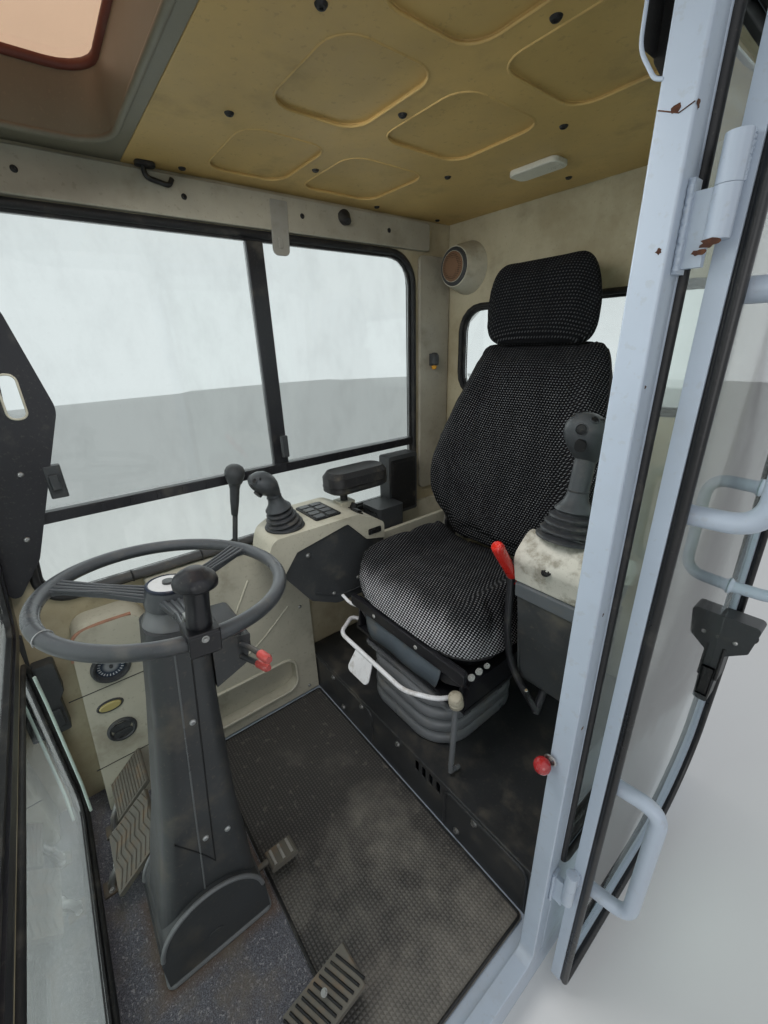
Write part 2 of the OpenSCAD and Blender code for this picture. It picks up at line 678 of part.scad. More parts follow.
module backrest() color(black) difference() {
  on_back() {
    plate_y([[-back_foot, 0, 40], [back_foot, 0, 40], [back_wide, 170, 60], [back_wide - 12, 320, 100],
      [back_top, back_h, 60], [-back_top, back_h, 60], [-back_wide + 12, 320, 100],
      [-back_wide, 170, 60]], 0, 90);
    for (sx = [-1, 1]) hull() {
      plate_y(rect(sx * 205 - 40, 60, sx * 205 + 40, 420, 38), -2, 6);
      plate_y(rect(sx * 212 - 18, 110, sx * 212 + 18, 370, 16), -34, -30);
    }
  }
  for (sx = [-1, 1]) rod([sx * 199, recline[0], recline[1]], [sx * 260, recline[0], recline[1]],
    recline_r + play);
}

module headrest() color(black) on_back()
  plate_y([[-178, back_h + gap, 60], [172, back_h + gap, 60], [168, back_h + 208, 80],
    [-170, back_h + 208, 80]], -26, 70);

module seat_adjust_bar() color([0.88, 0.88, 0.88]) {
  z = slide_z + 12;
  out = rail_x + 18 + gap;
  tube([[-out - 1.7, 70, z], [-250, 50, z], [-190, -75, z], [130, -75, z], [out + 6, 10, z],
    [out + 6, 95, z]], 6, 25, [0, 0, 1]);
  plate_y(rect(-130, z - 48, -20, z, 12), -80, -70);
}

// The left console swings about a pin at the end of its arm
module raised() translate([0, con_pivot[0], con_pivot[1]]) rotate([-con_raise, 0, 0])
  translate([0, -con_pivot[0], -con_pivot[1]]) children();
module left_side() raised() translate([0, con_back, 0]) children();
left_seam = [seam[0], seam[1], [60, cover_top - 54, 4]];
left_foot = cover_top - 344;

module left_console_box() color(dark) {
  left_side() plate_x(grown(concat([[-105, cover_top - 223, 50], [-16, left_foot, 24],
    [44, left_foot, 24], [60, cover_top - 240, 30]], reversed(left_seam)), -gap),
    con_x + 4, con_x + con_w - 4);
  raised() difference() {
    plate_x([[250, con_pivot[1] - 40, 4], [con_pivot[0] + 20, con_pivot[1] - 20, 16],
      [con_pivot[0] + 20, con_pivot[1] + 20, 16], [250, con_pivot[1] + 40, 4]],
      con_x + 60, con_x + 72);
    rod([con_x + 58, con_pivot[0], con_pivot[1]], [con_x + 76, con_pivot[0], con_pivot[1]],
      con_pin_r + play);
  }
}

module left_console_cover() color(beige) left_side()
  plate_x(concat(left_seam, [[60, cover_top - 20, 20], [30, cover_top, 30]], cover_nose),
    con_x, con_x + con_w);

module left_joystick() color(dark) left_side()
  translate([stick_x, -170, cover_top + gap]) joystick(18, 84);

// The lever that locks the controls runs down beside the console and hooks in under its box
module safety_lever() raised() {
  x = con_x - 14;
  peg = [con_x + 56, 226];
  color(black) {
    tube([[x, 43, cover_top - 102], [x, 102, left_foot + 114], [x + 6, 168, left_foot + 23],
      [peg[0], peg[1] - 4, left_foot - 52]], 8, 40, [1, 0, 0]);
    translate([peg[0], peg[1], left_foot - 60]) cylinder(h = 60, r = 9);
  }
  color([0.84, 0.2, 0.18]) rod([x, 46, cover_top - 104], [x, -50, cover_top - 49], 12);
}

floor_frame();
right_side_frame();
left_door_frame();
left_quarter_panel();
rear_panel();
front_frame();
windscreen_frame();
roof_panel();
roof_liner();
skylight_frame();
skylight_glass();
right_window_rail();
right_window_glass();
quarter_glass();
rear_glass();
windscreen_glass();
front_lower_glass();
window_seals();
door_frame();
door_glass();
door_seal();
door_grab_handles();
door_latch();
door_hinges();
floor_mat();
front_carpet();
dash_panel();
right_side_trim();
right_console();
right_console_side();
right_rear_tray();
right_joystick();
shift_lever();
armrest();
monitor_box();
speaker_pod();
grip_plate();
column_foot();
column_cover();
steering_wheel();
column_switch_box();
front_pedals();
left_pedal();
column_tilt_pedal();
seat_pedestal();
seat_bellows();
seat_frame();
seat_cushion();
backrest();
headrest();
seat_adjust_bar();
left_console_box();
left_console_cover();
left_joystick();
safety_lever();
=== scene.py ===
import math
import random

import bmesh
import bpy
from mathutils import Matrix, Vector
from mathutils.bvhtree import BVHTree


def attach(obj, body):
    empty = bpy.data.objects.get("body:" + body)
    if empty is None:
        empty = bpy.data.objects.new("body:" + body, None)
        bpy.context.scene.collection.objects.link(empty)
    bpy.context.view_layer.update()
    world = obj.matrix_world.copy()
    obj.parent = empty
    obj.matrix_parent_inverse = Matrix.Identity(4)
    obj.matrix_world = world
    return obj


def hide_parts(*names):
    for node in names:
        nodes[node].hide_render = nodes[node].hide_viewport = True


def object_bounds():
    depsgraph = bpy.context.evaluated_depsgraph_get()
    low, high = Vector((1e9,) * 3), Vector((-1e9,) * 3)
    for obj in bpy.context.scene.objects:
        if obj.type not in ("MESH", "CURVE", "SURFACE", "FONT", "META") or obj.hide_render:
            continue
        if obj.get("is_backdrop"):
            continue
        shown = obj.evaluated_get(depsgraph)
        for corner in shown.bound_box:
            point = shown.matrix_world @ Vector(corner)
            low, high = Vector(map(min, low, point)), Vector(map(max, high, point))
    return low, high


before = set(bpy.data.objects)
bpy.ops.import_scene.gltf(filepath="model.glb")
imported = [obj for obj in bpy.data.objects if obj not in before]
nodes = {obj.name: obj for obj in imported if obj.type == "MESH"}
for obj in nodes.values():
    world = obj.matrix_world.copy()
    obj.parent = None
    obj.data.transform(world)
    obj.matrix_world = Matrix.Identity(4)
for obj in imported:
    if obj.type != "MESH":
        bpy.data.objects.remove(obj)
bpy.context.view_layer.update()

# Studio. The cab stands on a pale floor under soft lamps, and the camera looks in through
# the open door from beside the front post, at the height of a tall person's eyes.
EYE = Vector((0.681, -0.570, 1.230))
RIGHT = Vector((0.6252, 0.7799, -0.0308))
UP = Vector((-0.2733, 0.2558, 0.9273))
lens = bpy.data.cameras.new("eye")
lens.sensor_width = 36.0
lens.lens = 14.77
lens.clip_start = 0.01
camera = bpy.data.objects.new("eye", lens)
bpy.context.scene.collection.objects.link(camera)
behind = RIGHT.cross(UP).normalized()
upward = behind.cross(RIGHT).normalized()
camera.matrix_world = Matrix(((RIGHT.x, upward.x, behind.x, EYE.x),
                              (RIGHT.y, upward.y, behind.y, EYE.y),
                              (RIGHT.z, upward.z, behind.z, EYE.z), (0, 0, 0, 1)))
bpy.context.scene.camera = camera
bpy.context.scene.view_settings.view_transform = "Standard"


def lamp(name, place, aim, size, power):
    """A round soft lamp in metres and watts; the one inside the cab leaves no glint."""
    data = bpy.data.lights.new(name, "AREA")
    data.shape = "DISK"
    data.size = size
    data.energy = power
    lit = bpy.data.objects.new(name, data)
    bpy.context.scene.collection.objects.link(lit)
    lit.location = place
    lit.rotation_euler = (Vector(aim) - Vector(place)).to_track_quat("-Z", "Y").to_euler()
    lit.visible_camera = False
    lit.visible_transmission = False
    lit.visible_glossy = name != "inside"


lamp("door_side", (3.2, -2.4, 1.3), (0.1, 0.0, 0.6), 2.2, 16)
lamp("right_side", (-3.0, 0.2, 2.0), (0.0, 0.0, 0.7), 2.4, 20)
lamp("front", (-0.4, -3.6, 1.9), (0.0, 0.0, 0.5), 2.4, 26)
lamp("inside", (0.05, -0.36, 1.52), (0.0, -0.1, 0.4), 0.5, 6)


def join(tree, value, socket):
    """Links another socket's value, or writes a plain one."""
    if isinstance(value, bpy.types.NodeSocket):
        tree.links.new(value, socket)
    elif socket.type == "RGBA":
        socket.default_value = (*value[:3], 1)
    else:
        socket.default_value = value


def add(tree, kind, **values):
    """A shader node, its sockets filled by label and its settings by name."""
    made = tree.nodes.new(kind)
    for key, value in values.items():
        label = key.replace("_", " ")
        if label in made.inputs:
            join(tree, value, made.inputs[label])
        else:
            setattr(made, key, value)
    return made


def maths(tree, operation, *values, clamp=False):
    """The result of one sum on values or sockets."""
    made = add(tree, "ShaderNodeMath", operation=operation, use_clamp=clamp)
    for value, socket in zip(values, made.inputs):
        join(tree, value, socket)
    return made.outputs[0]


def fade(tree, value, low, high):
    """0 below low, 1 above high, with a soft step between; low above high turns it round."""
    made = add(tree, "ShaderNodeMapRange", interpolation_type="SMOOTHSTEP")
    join(tree, value, made.inputs["Value"])
    join(tree, low, made.inputs["From Min"])
    join(tree, high, made.inputs["From Max"])
    return made.outputs["Result"]


world = bpy.data.worlds.new("studio")
bpy.context.scene.world = world
world.use_nodes = True
sky = world.node_tree.nodes["Background"]
sky.inputs["Color"].default_value = (0.84, 0.87, 0.90, 1)
ray = add(world.node_tree, "ShaderNodeLightPath")
seen = maths(world.node_tree, "MAXIMUM", ray.outputs["Is Camera Ray"], ray.outputs["Is Glossy Ray"])
seen = maths(world.node_tree, "MAXIMUM", seen, ray.outputs["Is Transmission Ray"])
join(world.node_tree, maths(world.node_tree, "MULTIPLY_ADD", seen, 0.28, 0.66), sky.inputs["Strength"])


def finish(name, colour, rough=0.5, **values):
    """A material with its plain Principled values set; textures are joined to it afterwards."""
    made = bpy.data.materials.new(name)
    made.use_nodes = True
    shader = made.node_tree.nodes["Principled BSDF"]
    shader.inputs["Base Color"].default_value = (*colour, 1)
    shader.inputs["Roughness"].default_value = rough
    for key, value in values.items():
        shader.inputs[key.replace("_", " ")].default_value = value
    made.diffuse_color = (*colour, 1)
    return made, made.node_tree, shader


def skin(tree, shader, colour=None, rough=None, height=None, distance=0.001, strength=1.0):
    """Joins a finish's changing colour, roughness and relief to its shader; distance in metres."""
    if colour is not None:
        join(tree, colour, shader.inputs["Base Color"])
    if rough is not None:
        join(tree, rough, shader.inputs["Roughness"])
    if height is not None:
        relief = add(tree, "ShaderNodeBump", Height=height, Distance=distance, Strength=strength)
        join(tree, relief.outputs["Normal"], shader.inputs["Normal"])


floor_finish, tree, shader = finish("studio_floor", (0.74, 0.74, 0.73), 0.9)
mottle = add(tree, "ShaderNodeTexNoise", Scale=3.0, Detail=4.0)
skin(tree, shader, rough=maths(tree, "MULTIPLY_ADD", mottle.outputs["Fac"], 0.1, 0.85))
floor_mesh = bpy.data.meshes.new("floor")
floor_mesh.from_pydata([(-14, -14, 0), (14, -14, 0), (14, 14, 0), (-14, 14, 0)], [], [(0, 1, 2, 3)])
floor = bpy.data.objects.new("floor", floor_mesh)
bpy.context.scene.collection.objects.link(floor)
floor.data.materials.append(floor_finish)
floor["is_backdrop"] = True

# Painted shell: floor frame, door-side frame, quarter panel and roof, welded from pressed
# steel and sprayed pale blue-grey. Rust shows where stones and boots have chipped it.


def effect(name, takes, gives):
    """A shader node group: its tree, its entry sockets by label and its exit node."""
    made = bpy.data.node_groups.new(name, "ShaderNodeTree")
    for label, value in takes.items():
        kind = "NodeSocketColor" if isinstance(value, tuple) else "NodeSocketFloat"
        socket = made.interface.new_socket(label, in_out="INPUT", socket_type=kind)
        socket.default_value = (*value, 1) if isinstance(value, tuple) else value
    for label in gives:
        kind = "NodeSocketColor" if label == "Colour" else "NodeSocketFloat"
        made.interface.new_socket(label, in_out="OUTPUT", socket_type=kind)
    return made, made.nodes.new("NodeGroupInput").outputs, made.nodes.new("NodeGroupOutput").inputs


def use(tree, group, **values):
    """A shader node group placed in a material: its exit sockets."""
    made = add(tree, "ShaderNodeGroup", node_tree=group)
    for key, value in values.items():
        join(tree, value, made.inputs[key.replace("_", " ")])
    return made.outputs


def place(tree):
    """Where a point of the surface lies on its piece, in metres."""
    return add(tree, "ShaderNodeTexCoord").outputs["Object"]


def axes(tree, where):
    """The X, Y and Z of a place."""
    parts = add(tree, "ShaderNodeSeparateXYZ", Vector=where).outputs
    return parts["X"], parts["Y"], parts["Z"]


def speckle(tree, where, scale, detail=3.0, rough=0.55):
    """Soft noise from 0 to 1; scale is in specks to the metre."""
    made = add(tree, "ShaderNodeTexNoise", Detail=detail, Roughness=rough, Vector=where)
    join(tree, scale, made.inputs["Scale"])
    return made.outputs["Fac"]


def mixed(tree, mask, first, second):
    """The first colour where the mask is 0 and the second where it is 1."""
    made = add(tree, "ShaderNodeMix", data_type="RGBA")
    join(tree, mask, made.inputs[0])
    join(tree, first, made.inputs[6])
    join(tree, second, made.inputs[7])
    return made.outputs[2]


# Grain of moulded plastic and of sprayed paint; Size is the width of one bead in millimetres
grain, take, give = effect("moulded_grain", {"Size": 1.0}, ["Height", "Tone"])
where = place(grain)
fine = maths(grain, "DIVIDE", 1000.0, take["Size"])
beads = add(grain, "ShaderNodeTexVoronoi", feature="SMOOTH_F1", Vector=where)
join(grain, fine, beads.inputs["Scale"])
broad = speckle(grain, where, maths(grain, "MULTIPLY", fine, 0.07), 4.0)
join(grain, maths(grain, "MULTIPLY_ADD", broad, 1.5, maths(grain, "MULTIPLY", beads.outputs["Distance"], -0.6)),
     give["Height"])
join(grain, fade(grain, speckle(grain, where, 7.0, 5.0, 0.6), 0.3, 0.7), give["Tone"])

# Dust and dirt lie in soft patches with fine specks round them; Size is a patch in millimetres
grime, take, give = effect("dust_and_dirt", {"Clean": (0.5, 0.5, 0.5), "Dirt": (0.2, 0.17, 0.12),
                                             "Amount": 0.3, "Size": 90.0}, ["Colour", "Mask"])
where = place(grime)
patch = speckle(grime, where, maths(grime, "DIVIDE", 1000.0, take["Size"]), 6.0, 0.62)
specks = speckle(grime, where, maths(grime, "DIVIDE", 14000.0, take["Size"]), 3.0, 0.6)
edge = maths(grime, "MULTIPLY_ADD", take["Amount"], -0.28, 0.62)
lying = fade(grime, patch, edge, maths(grime, "ADD", edge, 0.22))
lying = maths(grime, "MULTIPLY", lying, maths(grime, "MULTIPLY_ADD", specks, 0.7, 0.45))
strewn = maths(grime, "MULTIPLY", fade(grime, specks, 0.60, 0.68), 0.45)
covered = maths(grime, "MULTIPLY", maths(grime, "MAXIMUM", lying, strewn), take["Amount"], clamp=True)
covered = maths(grime, "MULTIPLY", covered, 1.6, clamp=True)
join(grime, mixed(grime, covered, take["Clean"], take["Dirt"]), give["Colour"])
join(grime, covered, give["Mask"])

# Chips knock through a coat here and there; Size is the room round one chip in millimetres
chips, take, give = effect("chips", {"Coat": (0.5, 0.5, 0.5), "Under": (0.10, 0.04, 0.02),
                                     "Amount": 0.1, "Size": 45.0}, ["Colour", "Mask"])
where = place(chips)
cells = add(chips, "ShaderNodeTexVoronoi", Vector=where)
join(chips, maths(chips, "DIVIDE", 1000.0, take["Size"]), cells.inputs["Scale"])
ragged = speckle(chips, where, 260.0, 3.0)
chance = add(chips, "ShaderNodeSeparateColor", Color=cells.outputs["Color"]).outputs["Red"]
reach = maths(chips, "MULTIPLY", maths(chips, "SUBTRACT", take["Amount"], chance, clamp=True), 0.5)
near = maths(chips, "MULTIPLY_ADD", ragged, 0.14, maths(chips, "SUBTRACT", cells.outputs["Distance"], 0.07))
bare = maths(chips, "LESS_THAN", near, reach)
join(chips, mixed(chips, bare, take["Coat"], take["Under"]), give["Colour"])
join(chips, bare, give["Mask"])


def coat(name, colour, rough, bead=1.2, depth=0.00004, dirt=(0.16, 0.14, 0.10), amount=0.3,
         patch=90.0, tone=0.85, chipped=0.0, under=(0.10, 0.04, 0.02), **values):
    """Paint or moulded plastic with grain, uneven tone, dust and, where asked, chips."""
    made, tree, shader = finish(name, colour, rough, **values)
    rise = use(tree, grain, Size=bead)
    shade = mixed(tree, rise["Tone"], tuple(c * tone for c in colour), colour)
    if chipped:
        knocked = use(tree, chips, Coat=shade, Under=under, Amount=chipped)
        shade = knocked["Colour"]
    dust = use(tree, grime, Clean=shade, Dirt=dirt, Amount=amount, Size=patch)
    dull = maths(tree, "MULTIPLY_ADD", rise["Tone"], 0.08, rough - 0.04)
    dull = maths(tree, "MULTIPLY_ADD", dust["Mask"], 0.35, dull)
    skin(tree, shader, dust["Colour"], dull, rise["Height"], depth, 0.7)
    return made


def dress(names, material, bevel=1.5, segments=2):
    """Gives CAD nodes their finish and takes the sharpness off their edges; bevel in mm."""
    for name in names.split():
        node = nodes[name]
        node.data.materials.clear()
        node.data.materials.append(material)
        for face in node.data.polygons:
            face.use_smooth = True
        node.modifiers.new("weld", "WELD").merge_threshold = 0.00002
        if bevel:
            soft = node.modifiers.new("edge", "BEVEL")
            soft.width = bevel / 1000
            soft.segments = segments
            soft.limit_method = "ANGLE"
            soft.angle_limit = math.radians(32)
        node.modifiers.new("normals", "WEIGHTED_NORMAL").keep_sharp = True


def rounded(corners, steps=5):
    """Corners of an outline, (u, v, radius) anticlockwise in mm, turned into its points."""
    points = []
    for i, (u, v, radius) in enumerate(corners):
        here = Vector((u, v))
        if radius <= 0:
            points.append(here)
            continue
        first = (Vector(corners[i - 1][:2]) - here).normalized()
        second = (Vector(corners[(i + 1) % len(corners)][:2]) - here).normalized()
        angle = first.angle(second)
        middle = here + (first + second).normalized() * radius / math.sin(angle / 2)
        run = radius / math.tan(angle / 2)
        start = here + first * run - middle
        turn = start.angle_signed(here + second * run - middle)
        for j in range(steps + 1):
            points.append(middle + Matrix.Rotation(-turn * j / steps, 2) @ start)
    return points


def rect(u0, v0, u1, v1, radius=0):
    """Outline of a rectangle with one radius at its corners."""
    return rounded([(u0, v0, radius), (u1, v0, radius), (u1, v1, radius), (u0, v1, radius)])


def oval(u, v, wide, high, count):
    """An oval's outline from its middle and its two half sizes in mm."""
    return [Vector((u + wide * math.cos(math.tau * k / count), v + high * math.sin(math.tau * k / count)))
            for k in range(count)]


def standing(outline, at, across="x"):
    """A flat outline set up in the cab, across one axis at one distance, in mm."""
    order = {"x": (2, 0, 1), "y": (0, 2, 1), "z": (0, 1, 2)}[across]
    return [Vector([(*p, at)[i] for i in order]) for p in outline]


def plate(points, low, high, across="x"):
    """A slab with this outline, standing across one axis between two heights, all in mm."""
    count = len(points)
    verts = standing(points, low, across) + standing(points, high, across)
    faces = [tuple(range(count)), tuple(range(count, 2 * count))]
    faces += [(i, (i + 1) % count, count + (i + 1) % count, count + i) for i in range(count)]
    return verts, faces


def block(x0, y0, z0, x1, y1, z1, radius=0):
    """A box with its upright edges rounded."""
    return plate(rect(x0, y0, x1, y1, radius), z0, z1, "z")


def turned(profile, sides=40):
    """A body turned about Z from (radius, height) points in mm; ends on the axis are closed."""
    verts, rows = [], []
    for radius, height in profile:
        if radius < 1e-6:
            rows.append([len(verts)] * sides)
            verts.append(Vector((0, 0, height)))
        else:
            rows.append(list(range(len(verts), len(verts) + sides)))
            verts += [Vector((radius * math.cos(math.tau * k / sides),
                              radius * math.sin(math.tau * k / sides), height)) for k in range(sides)]
    faces = []
    for low, high in zip(rows, rows[1:]):
        for k in range(sides):
            corner = [low[k], low[(k + 1) % sides], high[(k + 1) % sides], high[k]]
            corner = [c for i, c in enumerate(corner) if c != corner[i - 1]]
            if len(corner) > 2:
                faces.append(tuple(corner))
    return verts, faces


def skinned(verts, count, closed=False):
    """A skin over rings of points that follow each other, with this many points in each."""
    rings, faces = len(verts) // count, []
    for ring in range(rings if closed else rings - 1):
        here, after = ring * count, (ring + 1) % rings * count
        faces += [(here + k, here + (k + 1) % count, after + (k + 1) % count, after + k) for k in range(count)]
    if not closed:
        faces += [tuple(range(count)), tuple(range((rings - 1) * count, rings * count))]
    return verts, faces


def smooth_path(points, radius, steps=6):
    """A line of points in mm with its corners rounded."""
    points = [Vector(p) for p in points]
    made = [points[0]]
    for before, here, after in zip(points, points[1:], points[2:]):
        first, second = before - here, after - here
        run = min(radius, first.length * 0.48, second.length * 0.48)
        a, b = here + first.normalized() * run, here + second.normalized() * run
        made += [a.lerp(here, t / steps).lerp(here.lerp(b, t / steps), t / steps) for t in range(steps + 1)]
    return made + [points[-1]]


def tube(points, radius, sides=16, closed=False):
    """A round bar along points in mm; radius is one number or one for each point."""
    points = [Vector(p) for p in points]
    count = len(points)
    radii = radius if isinstance(radius, list) else [radius] * count
    verts, side = [], None
    for i, point in enumerate(points):
        if closed:
            along = (points[(i + 1) % count] - points[i - 1]).normalized()
        else:
            along = (points[min(i + 1, count - 1)] - points[max(i - 1, 0)]).normalized()
        if side is None:
            side = along.orthogonal().normalized()
        side = (side - along * side.dot(along)).normalized()
        other = along.cross(side)
        verts += [point + radii[i] * (math.cos(math.tau * k / sides) * side
                                      + math.sin(math.tau * k / sides) * other) for k in range(sides)]
    return skinned(verts, sides, closed)


def hoop(outline, at, across, radius, sides=12):
    """A round bar laid along a closed outline."""
    return tube(standing(outline, at, across), radius, sides, closed=True)


def moved(shape, where=(0, 0, 0), turn=None):
    """The shape carried to a place in mm, its Z turned to the direction or by the matrix given."""
    if turn is None:
        turn = Matrix.Identity(3)
    elif not isinstance(turn, Matrix):
        turn = Vector(turn).normalized().to_track_quat("Z", "Y").to_matrix()
    verts, faces = shape
    return [turn @ v + Vector(where) for v in verts], faces


def piece(name, shapes, material, body, bevel=0.0, frame_of=None, crisp=35, segments=2):
    """One mesh object from shapes in mm, in the cab's frame or in that of a tilted unit."""
    mesh = bpy.data.meshes.new(name)
    verts, faces = [], []
    for more, corners in shapes:
        faces += [tuple(c + len(verts) for c in face) for face in corners]
        verts += more
    unit = (frame_of or Matrix.Identity(4)) @ Matrix.Scale(0.001, 4)
    mesh.from_pydata([unit @ v for v in verts], [], faces)
    shell = bmesh.new()
    shell.from_mesh(mesh)
    bmesh.ops.recalc_face_normals(shell, faces=shell.faces)
    shell.to_mesh(mesh)
    shell.free()
    for face in mesh.polygons:
        face.use_smooth = True
    mesh.set_sharp_from_angle(angle=math.radians(crisp))
    mesh.materials.append(material)
    made = bpy.data.objects.new(name, mesh)
    bpy.context.scene.collection.objects.link(made)
    if bevel:
        soft = made.modifiers.new("edge", "BEVEL")
        soft.width = bevel / 1000
        soft.segments = segments
        soft.limit_method = "ANGLE"
        soft.angle_limit = math.radians(crisp)
        made.modifiers.new("normals", "WEIGHTED_NORMAL").keep_sharp = True
    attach(made, body)
    return made


def screw(where, way, radius=5.0):
    """A domed screw head with a round socket, standing at a place and facing a way."""
    profile = [(0, 0.15), (0.36, 0.15), (0.42, 0.5), (0.72, 0.46), (0.95, 0.26), (1.0, 0.1), (1.0, -0.3)]
    return moved(turned([(r * radius, h * radius) for r, h in profile], 20), where, way)


def bolt(where, way, radius=8.0):
    """A hexagon bolt head on its washer."""
    head = plate(oval(0, 0, radius * 0.86, radius * 0.86, 6), radius * 0.2, radius * 0.85, "z")
    washer = turned([(0, -0.5), (radius * 1.25, -0.5), (radius * 1.25, radius * 0.2), (0, radius * 0.2)], 24)
    return [moved(head, where, way), moved(washer, where, way)]


cab_paint = coat("cab_paint", (0.43, 0.495, 0.58), 0.33, bead=3.5, depth=0.00003, dirt=(0.30, 0.27, 0.22),
                 amount=0.22, patch=160.0, tone=0.93, chipped=0.05, under=(0.16, 0.06, 0.03),
                 Coat_Weight=0.25, Coat_Roughness=0.25)
dress("floor_frame left_door_frame left_quarter_panel roof_panel", cab_paint, 2.5, 3)

# The dull bracket at the head of the door post, with its painted rim and bolts, and the chips
# and scratch that have rusted on the post.
zinc = coat("zinc_plate", (0.50, 0.50, 0.49), 0.34, bead=1.0, depth=0.00002, dirt=(0.22, 0.15, 0.09),
            amount=0.35, patch=40.0, Metallic=0.9)
bracket = rounded([(446, 1456, 12), (462, 1432, 8), (472, 1428, 4), (472, 1590, 2), (446, 1590, 2)])
dull_black = coat("dull_black", (0.010, 0.009, 0.008), 0.7, bead=1.5, amount=0.3, patch=30.0)
piece("post_bracket", [plate(bracket, -64, -61, "y"), plate(rect(-92, 1458, -61, 1590, 2), 446, 448.5, "x")],
      dull_black, "cab", 0.8)
rim = standing([(471, 1428), (463, 1431), (447, 1456), (447, 1588)], -93, "y")
piece("bracket_rim", [tube(smooth_path(rim, 10), 1.7, 10)],
      cab_paint, "cab")
piece("post_bolts", bolt((446, -77, 1490), (-1, 0, 0), 6) + bolt((446, -77, 1540), (-1, 0, 0), 6),
      zinc, "cab")
rust = coat("rust", (0.060, 0.024, 0.015), 0.85, bead=0.8, depth=0.0001, dirt=(0.16, 0.07, 0.03),
            amount=0.6, patch=12.0)


def flake(middle, across, up, size, seed):
    """A ragged flat chip in mm lying just proud of a face."""
    random.seed(seed)
    middle, across, up = Vector(middle), Vector(across), Vector(up)
    rim = [middle + (across * math.cos(a) + up * math.sin(a)) * size * random.uniform(0.55, 1.15)
           for a in (math.tau * k / 13 for k in range(13))]
    return [middle + across.cross(up) * 0.1] + rim, [(0, 1 + k, 1 + (k + 1) % 13) for k in range(13)]


post_side, post_front = 500.15, -94.15
piece("post_chips", [flake((post_side, -90, 1403), (0, 1, 0), (0, 0, 1), 4, 1),
                     flake((post_side, -86, 1180), (0, 1, 0), (0, 0, 1), 2.2, 2),
                     flake((492, post_front, 1300), (1, 0, 0), (0, 0, 1), 3, 3),
                     flake((486, post_front, 1404), (1, 0, 0), (0, 0, 1), 4.5, 4),
                     flake((post_side, -80, 900), (0, 1, 0), (0, 0, 1), 2.5, 5),
                     flake((post_side, -75, 700), (0, 1, 0), (0, 0, 1), 3.5, 6)],
      rust, "cab")
piece("post_scratch", [tube([(499, -94.3, 1404), (488, -94.3, 1400), (471, -94.3, 1407)], 0.5, 6)],
      rust, "cab")

# Drip rail along both sides of the roof and the welts pressed into its top, in the shell's own
# paint, with four rubber plugs in the holes that the cab is lifted by.
piece("roof_trim", [tube(smooth_path([(x, -640, 1597), (x, 660, 1597)], 5), 7, 12) for x in (-506, 506)]
      + [moved(tube(smooth_path([(-330, y0, 1692.3), (330, y0, 1692.3)], 5), 5, 12))
         for y0 in (-250, -90, 70, 230, 390)],
      cab_paint, "cab")
rubber_black = coat("seal_rubber", (0.013, 0.013, 0.014), 0.55, bead=0.9, depth=0.00004,
                    dirt=(0.11, 0.10, 0.085), amount=0.38, patch=60.0)
piece("roof_plugs", [moved(turned([(0, 3), (13, 3), (16, 1.5), (17, -1)], 28), (x, y, 1692))
                     for x in (-400, 400) for y in (-230, 560)], rubber_black, "cab")

# Outside of the rear and right panels: a moulded air intake with louvres, held by six screws,
# and a painted sheet-metal cover screwed to the right wall.
louvres = [block(-250, 676, 330, 250, 679, 560, 0)]
louvres += [plate([(-236, z), (236, z), (236, z + 4), (-236, z + 4)], 679, 686, "y")
            for z in range(345, 545, 14)]
piece("intake_grille", louvres + [screw((x, 679, z), (0, 1, 0), 5) for x in (-242, 242)
                                  for z in (340, 445, 550)],
      rubber_black, "cab", 0.8)
piece("side_cover", [plate(rect(-300, 180, 260, 560, 40), -503, -500.2, "x")]
      + [screw((-503, y, z), (-1, 0, 0), 6) for y in (-280, -20, 240) for z in (200, 540)],
      cab_paint, "cab", 1.0)

# Frames that show inside the cab: right side, rear and front, painted olive-beige inside and
# in the cab's own blue-grey outside.
inside_paint, tree, shader = finish("inside_paint", (0.43, 0.38, 0.26), 0.5)
where = place(tree)
x, y, z = axes(tree, where)
outside = maths(tree, "MAXIMUM", maths(tree, "GREATER_THAN", y, 0.6745), maths(tree, "LESS_THAN", y, -0.7685))
outside = maths(tree, "MAXIMUM", maths(tree, "LESS_THAN", x, -0.4985), outside)
rise = use(tree, grain, Size=2.4)
shade = mixed(tree, rise["Tone"], (0.33, 0.28, 0.18), (0.45, 0.40, 0.28))
shade = mixed(tree, outside, shade, (0.47, 0.54, 0.63))
dust = use(tree, grime, Clean=shade, Dirt=(0.20, 0.17, 0.11), Amount=0.35, Size=110.0)
skin(tree, shader, dust["Colour"], maths(tree, "MULTIPLY_ADD", dust["Mask"], 0.3, 0.42), rise["Height"],
     0.00004, 0.7)
dress("right_side_frame rear_panel front_frame", inside_paint, 2.5, 3)

# Beam trim over the right window: two grey-beige mouldings clipped to the frame, with their
# screws, a bracket over the pane's middle bar and a rubber plug.
beige_trim = coat("beige_trim", (0.49, 0.465, 0.375), 0.5, bead=1.4, depth=0.00006, dirt=(0.20, 0.17, 0.12),
                  amount=0.42, patch=120.0, tone=0.86)
beam_grey = coat("beam_grey", (0.36, 0.335, 0.27), 0.42, bead=2.5, depth=0.00005, dirt=(0.16, 0.14, 0.10),
                 amount=0.4, patch=150.0, tone=0.8)
wall_face = -468.7
piece("window_beam", [plate(rounded([(-560, 1500, 8), (540, 1500, 8), (540, 1578, 12), (-590, 1578, 12)]),
                            wall_face, -452, "x"),
                      plate(rect(500, 700, 640, 1490, 20), wall_face, -456, "x")],
      beam_grey, "cab", 3.0, segments=3)
grey_steel = coat("grey_steel", (0.27, 0.26, 0.23), 0.4, bead=1.5, amount=0.3, patch=40.0)
pad = rounded([(-12, 1446, 14), (34, 1446, 14), (40, 1566, 4), (-8, 1566, 4)])
tab = rounded([(4, 1462, 5), (16, 1462, 5), (16, 1486, 5), (4, 1486, 5)])
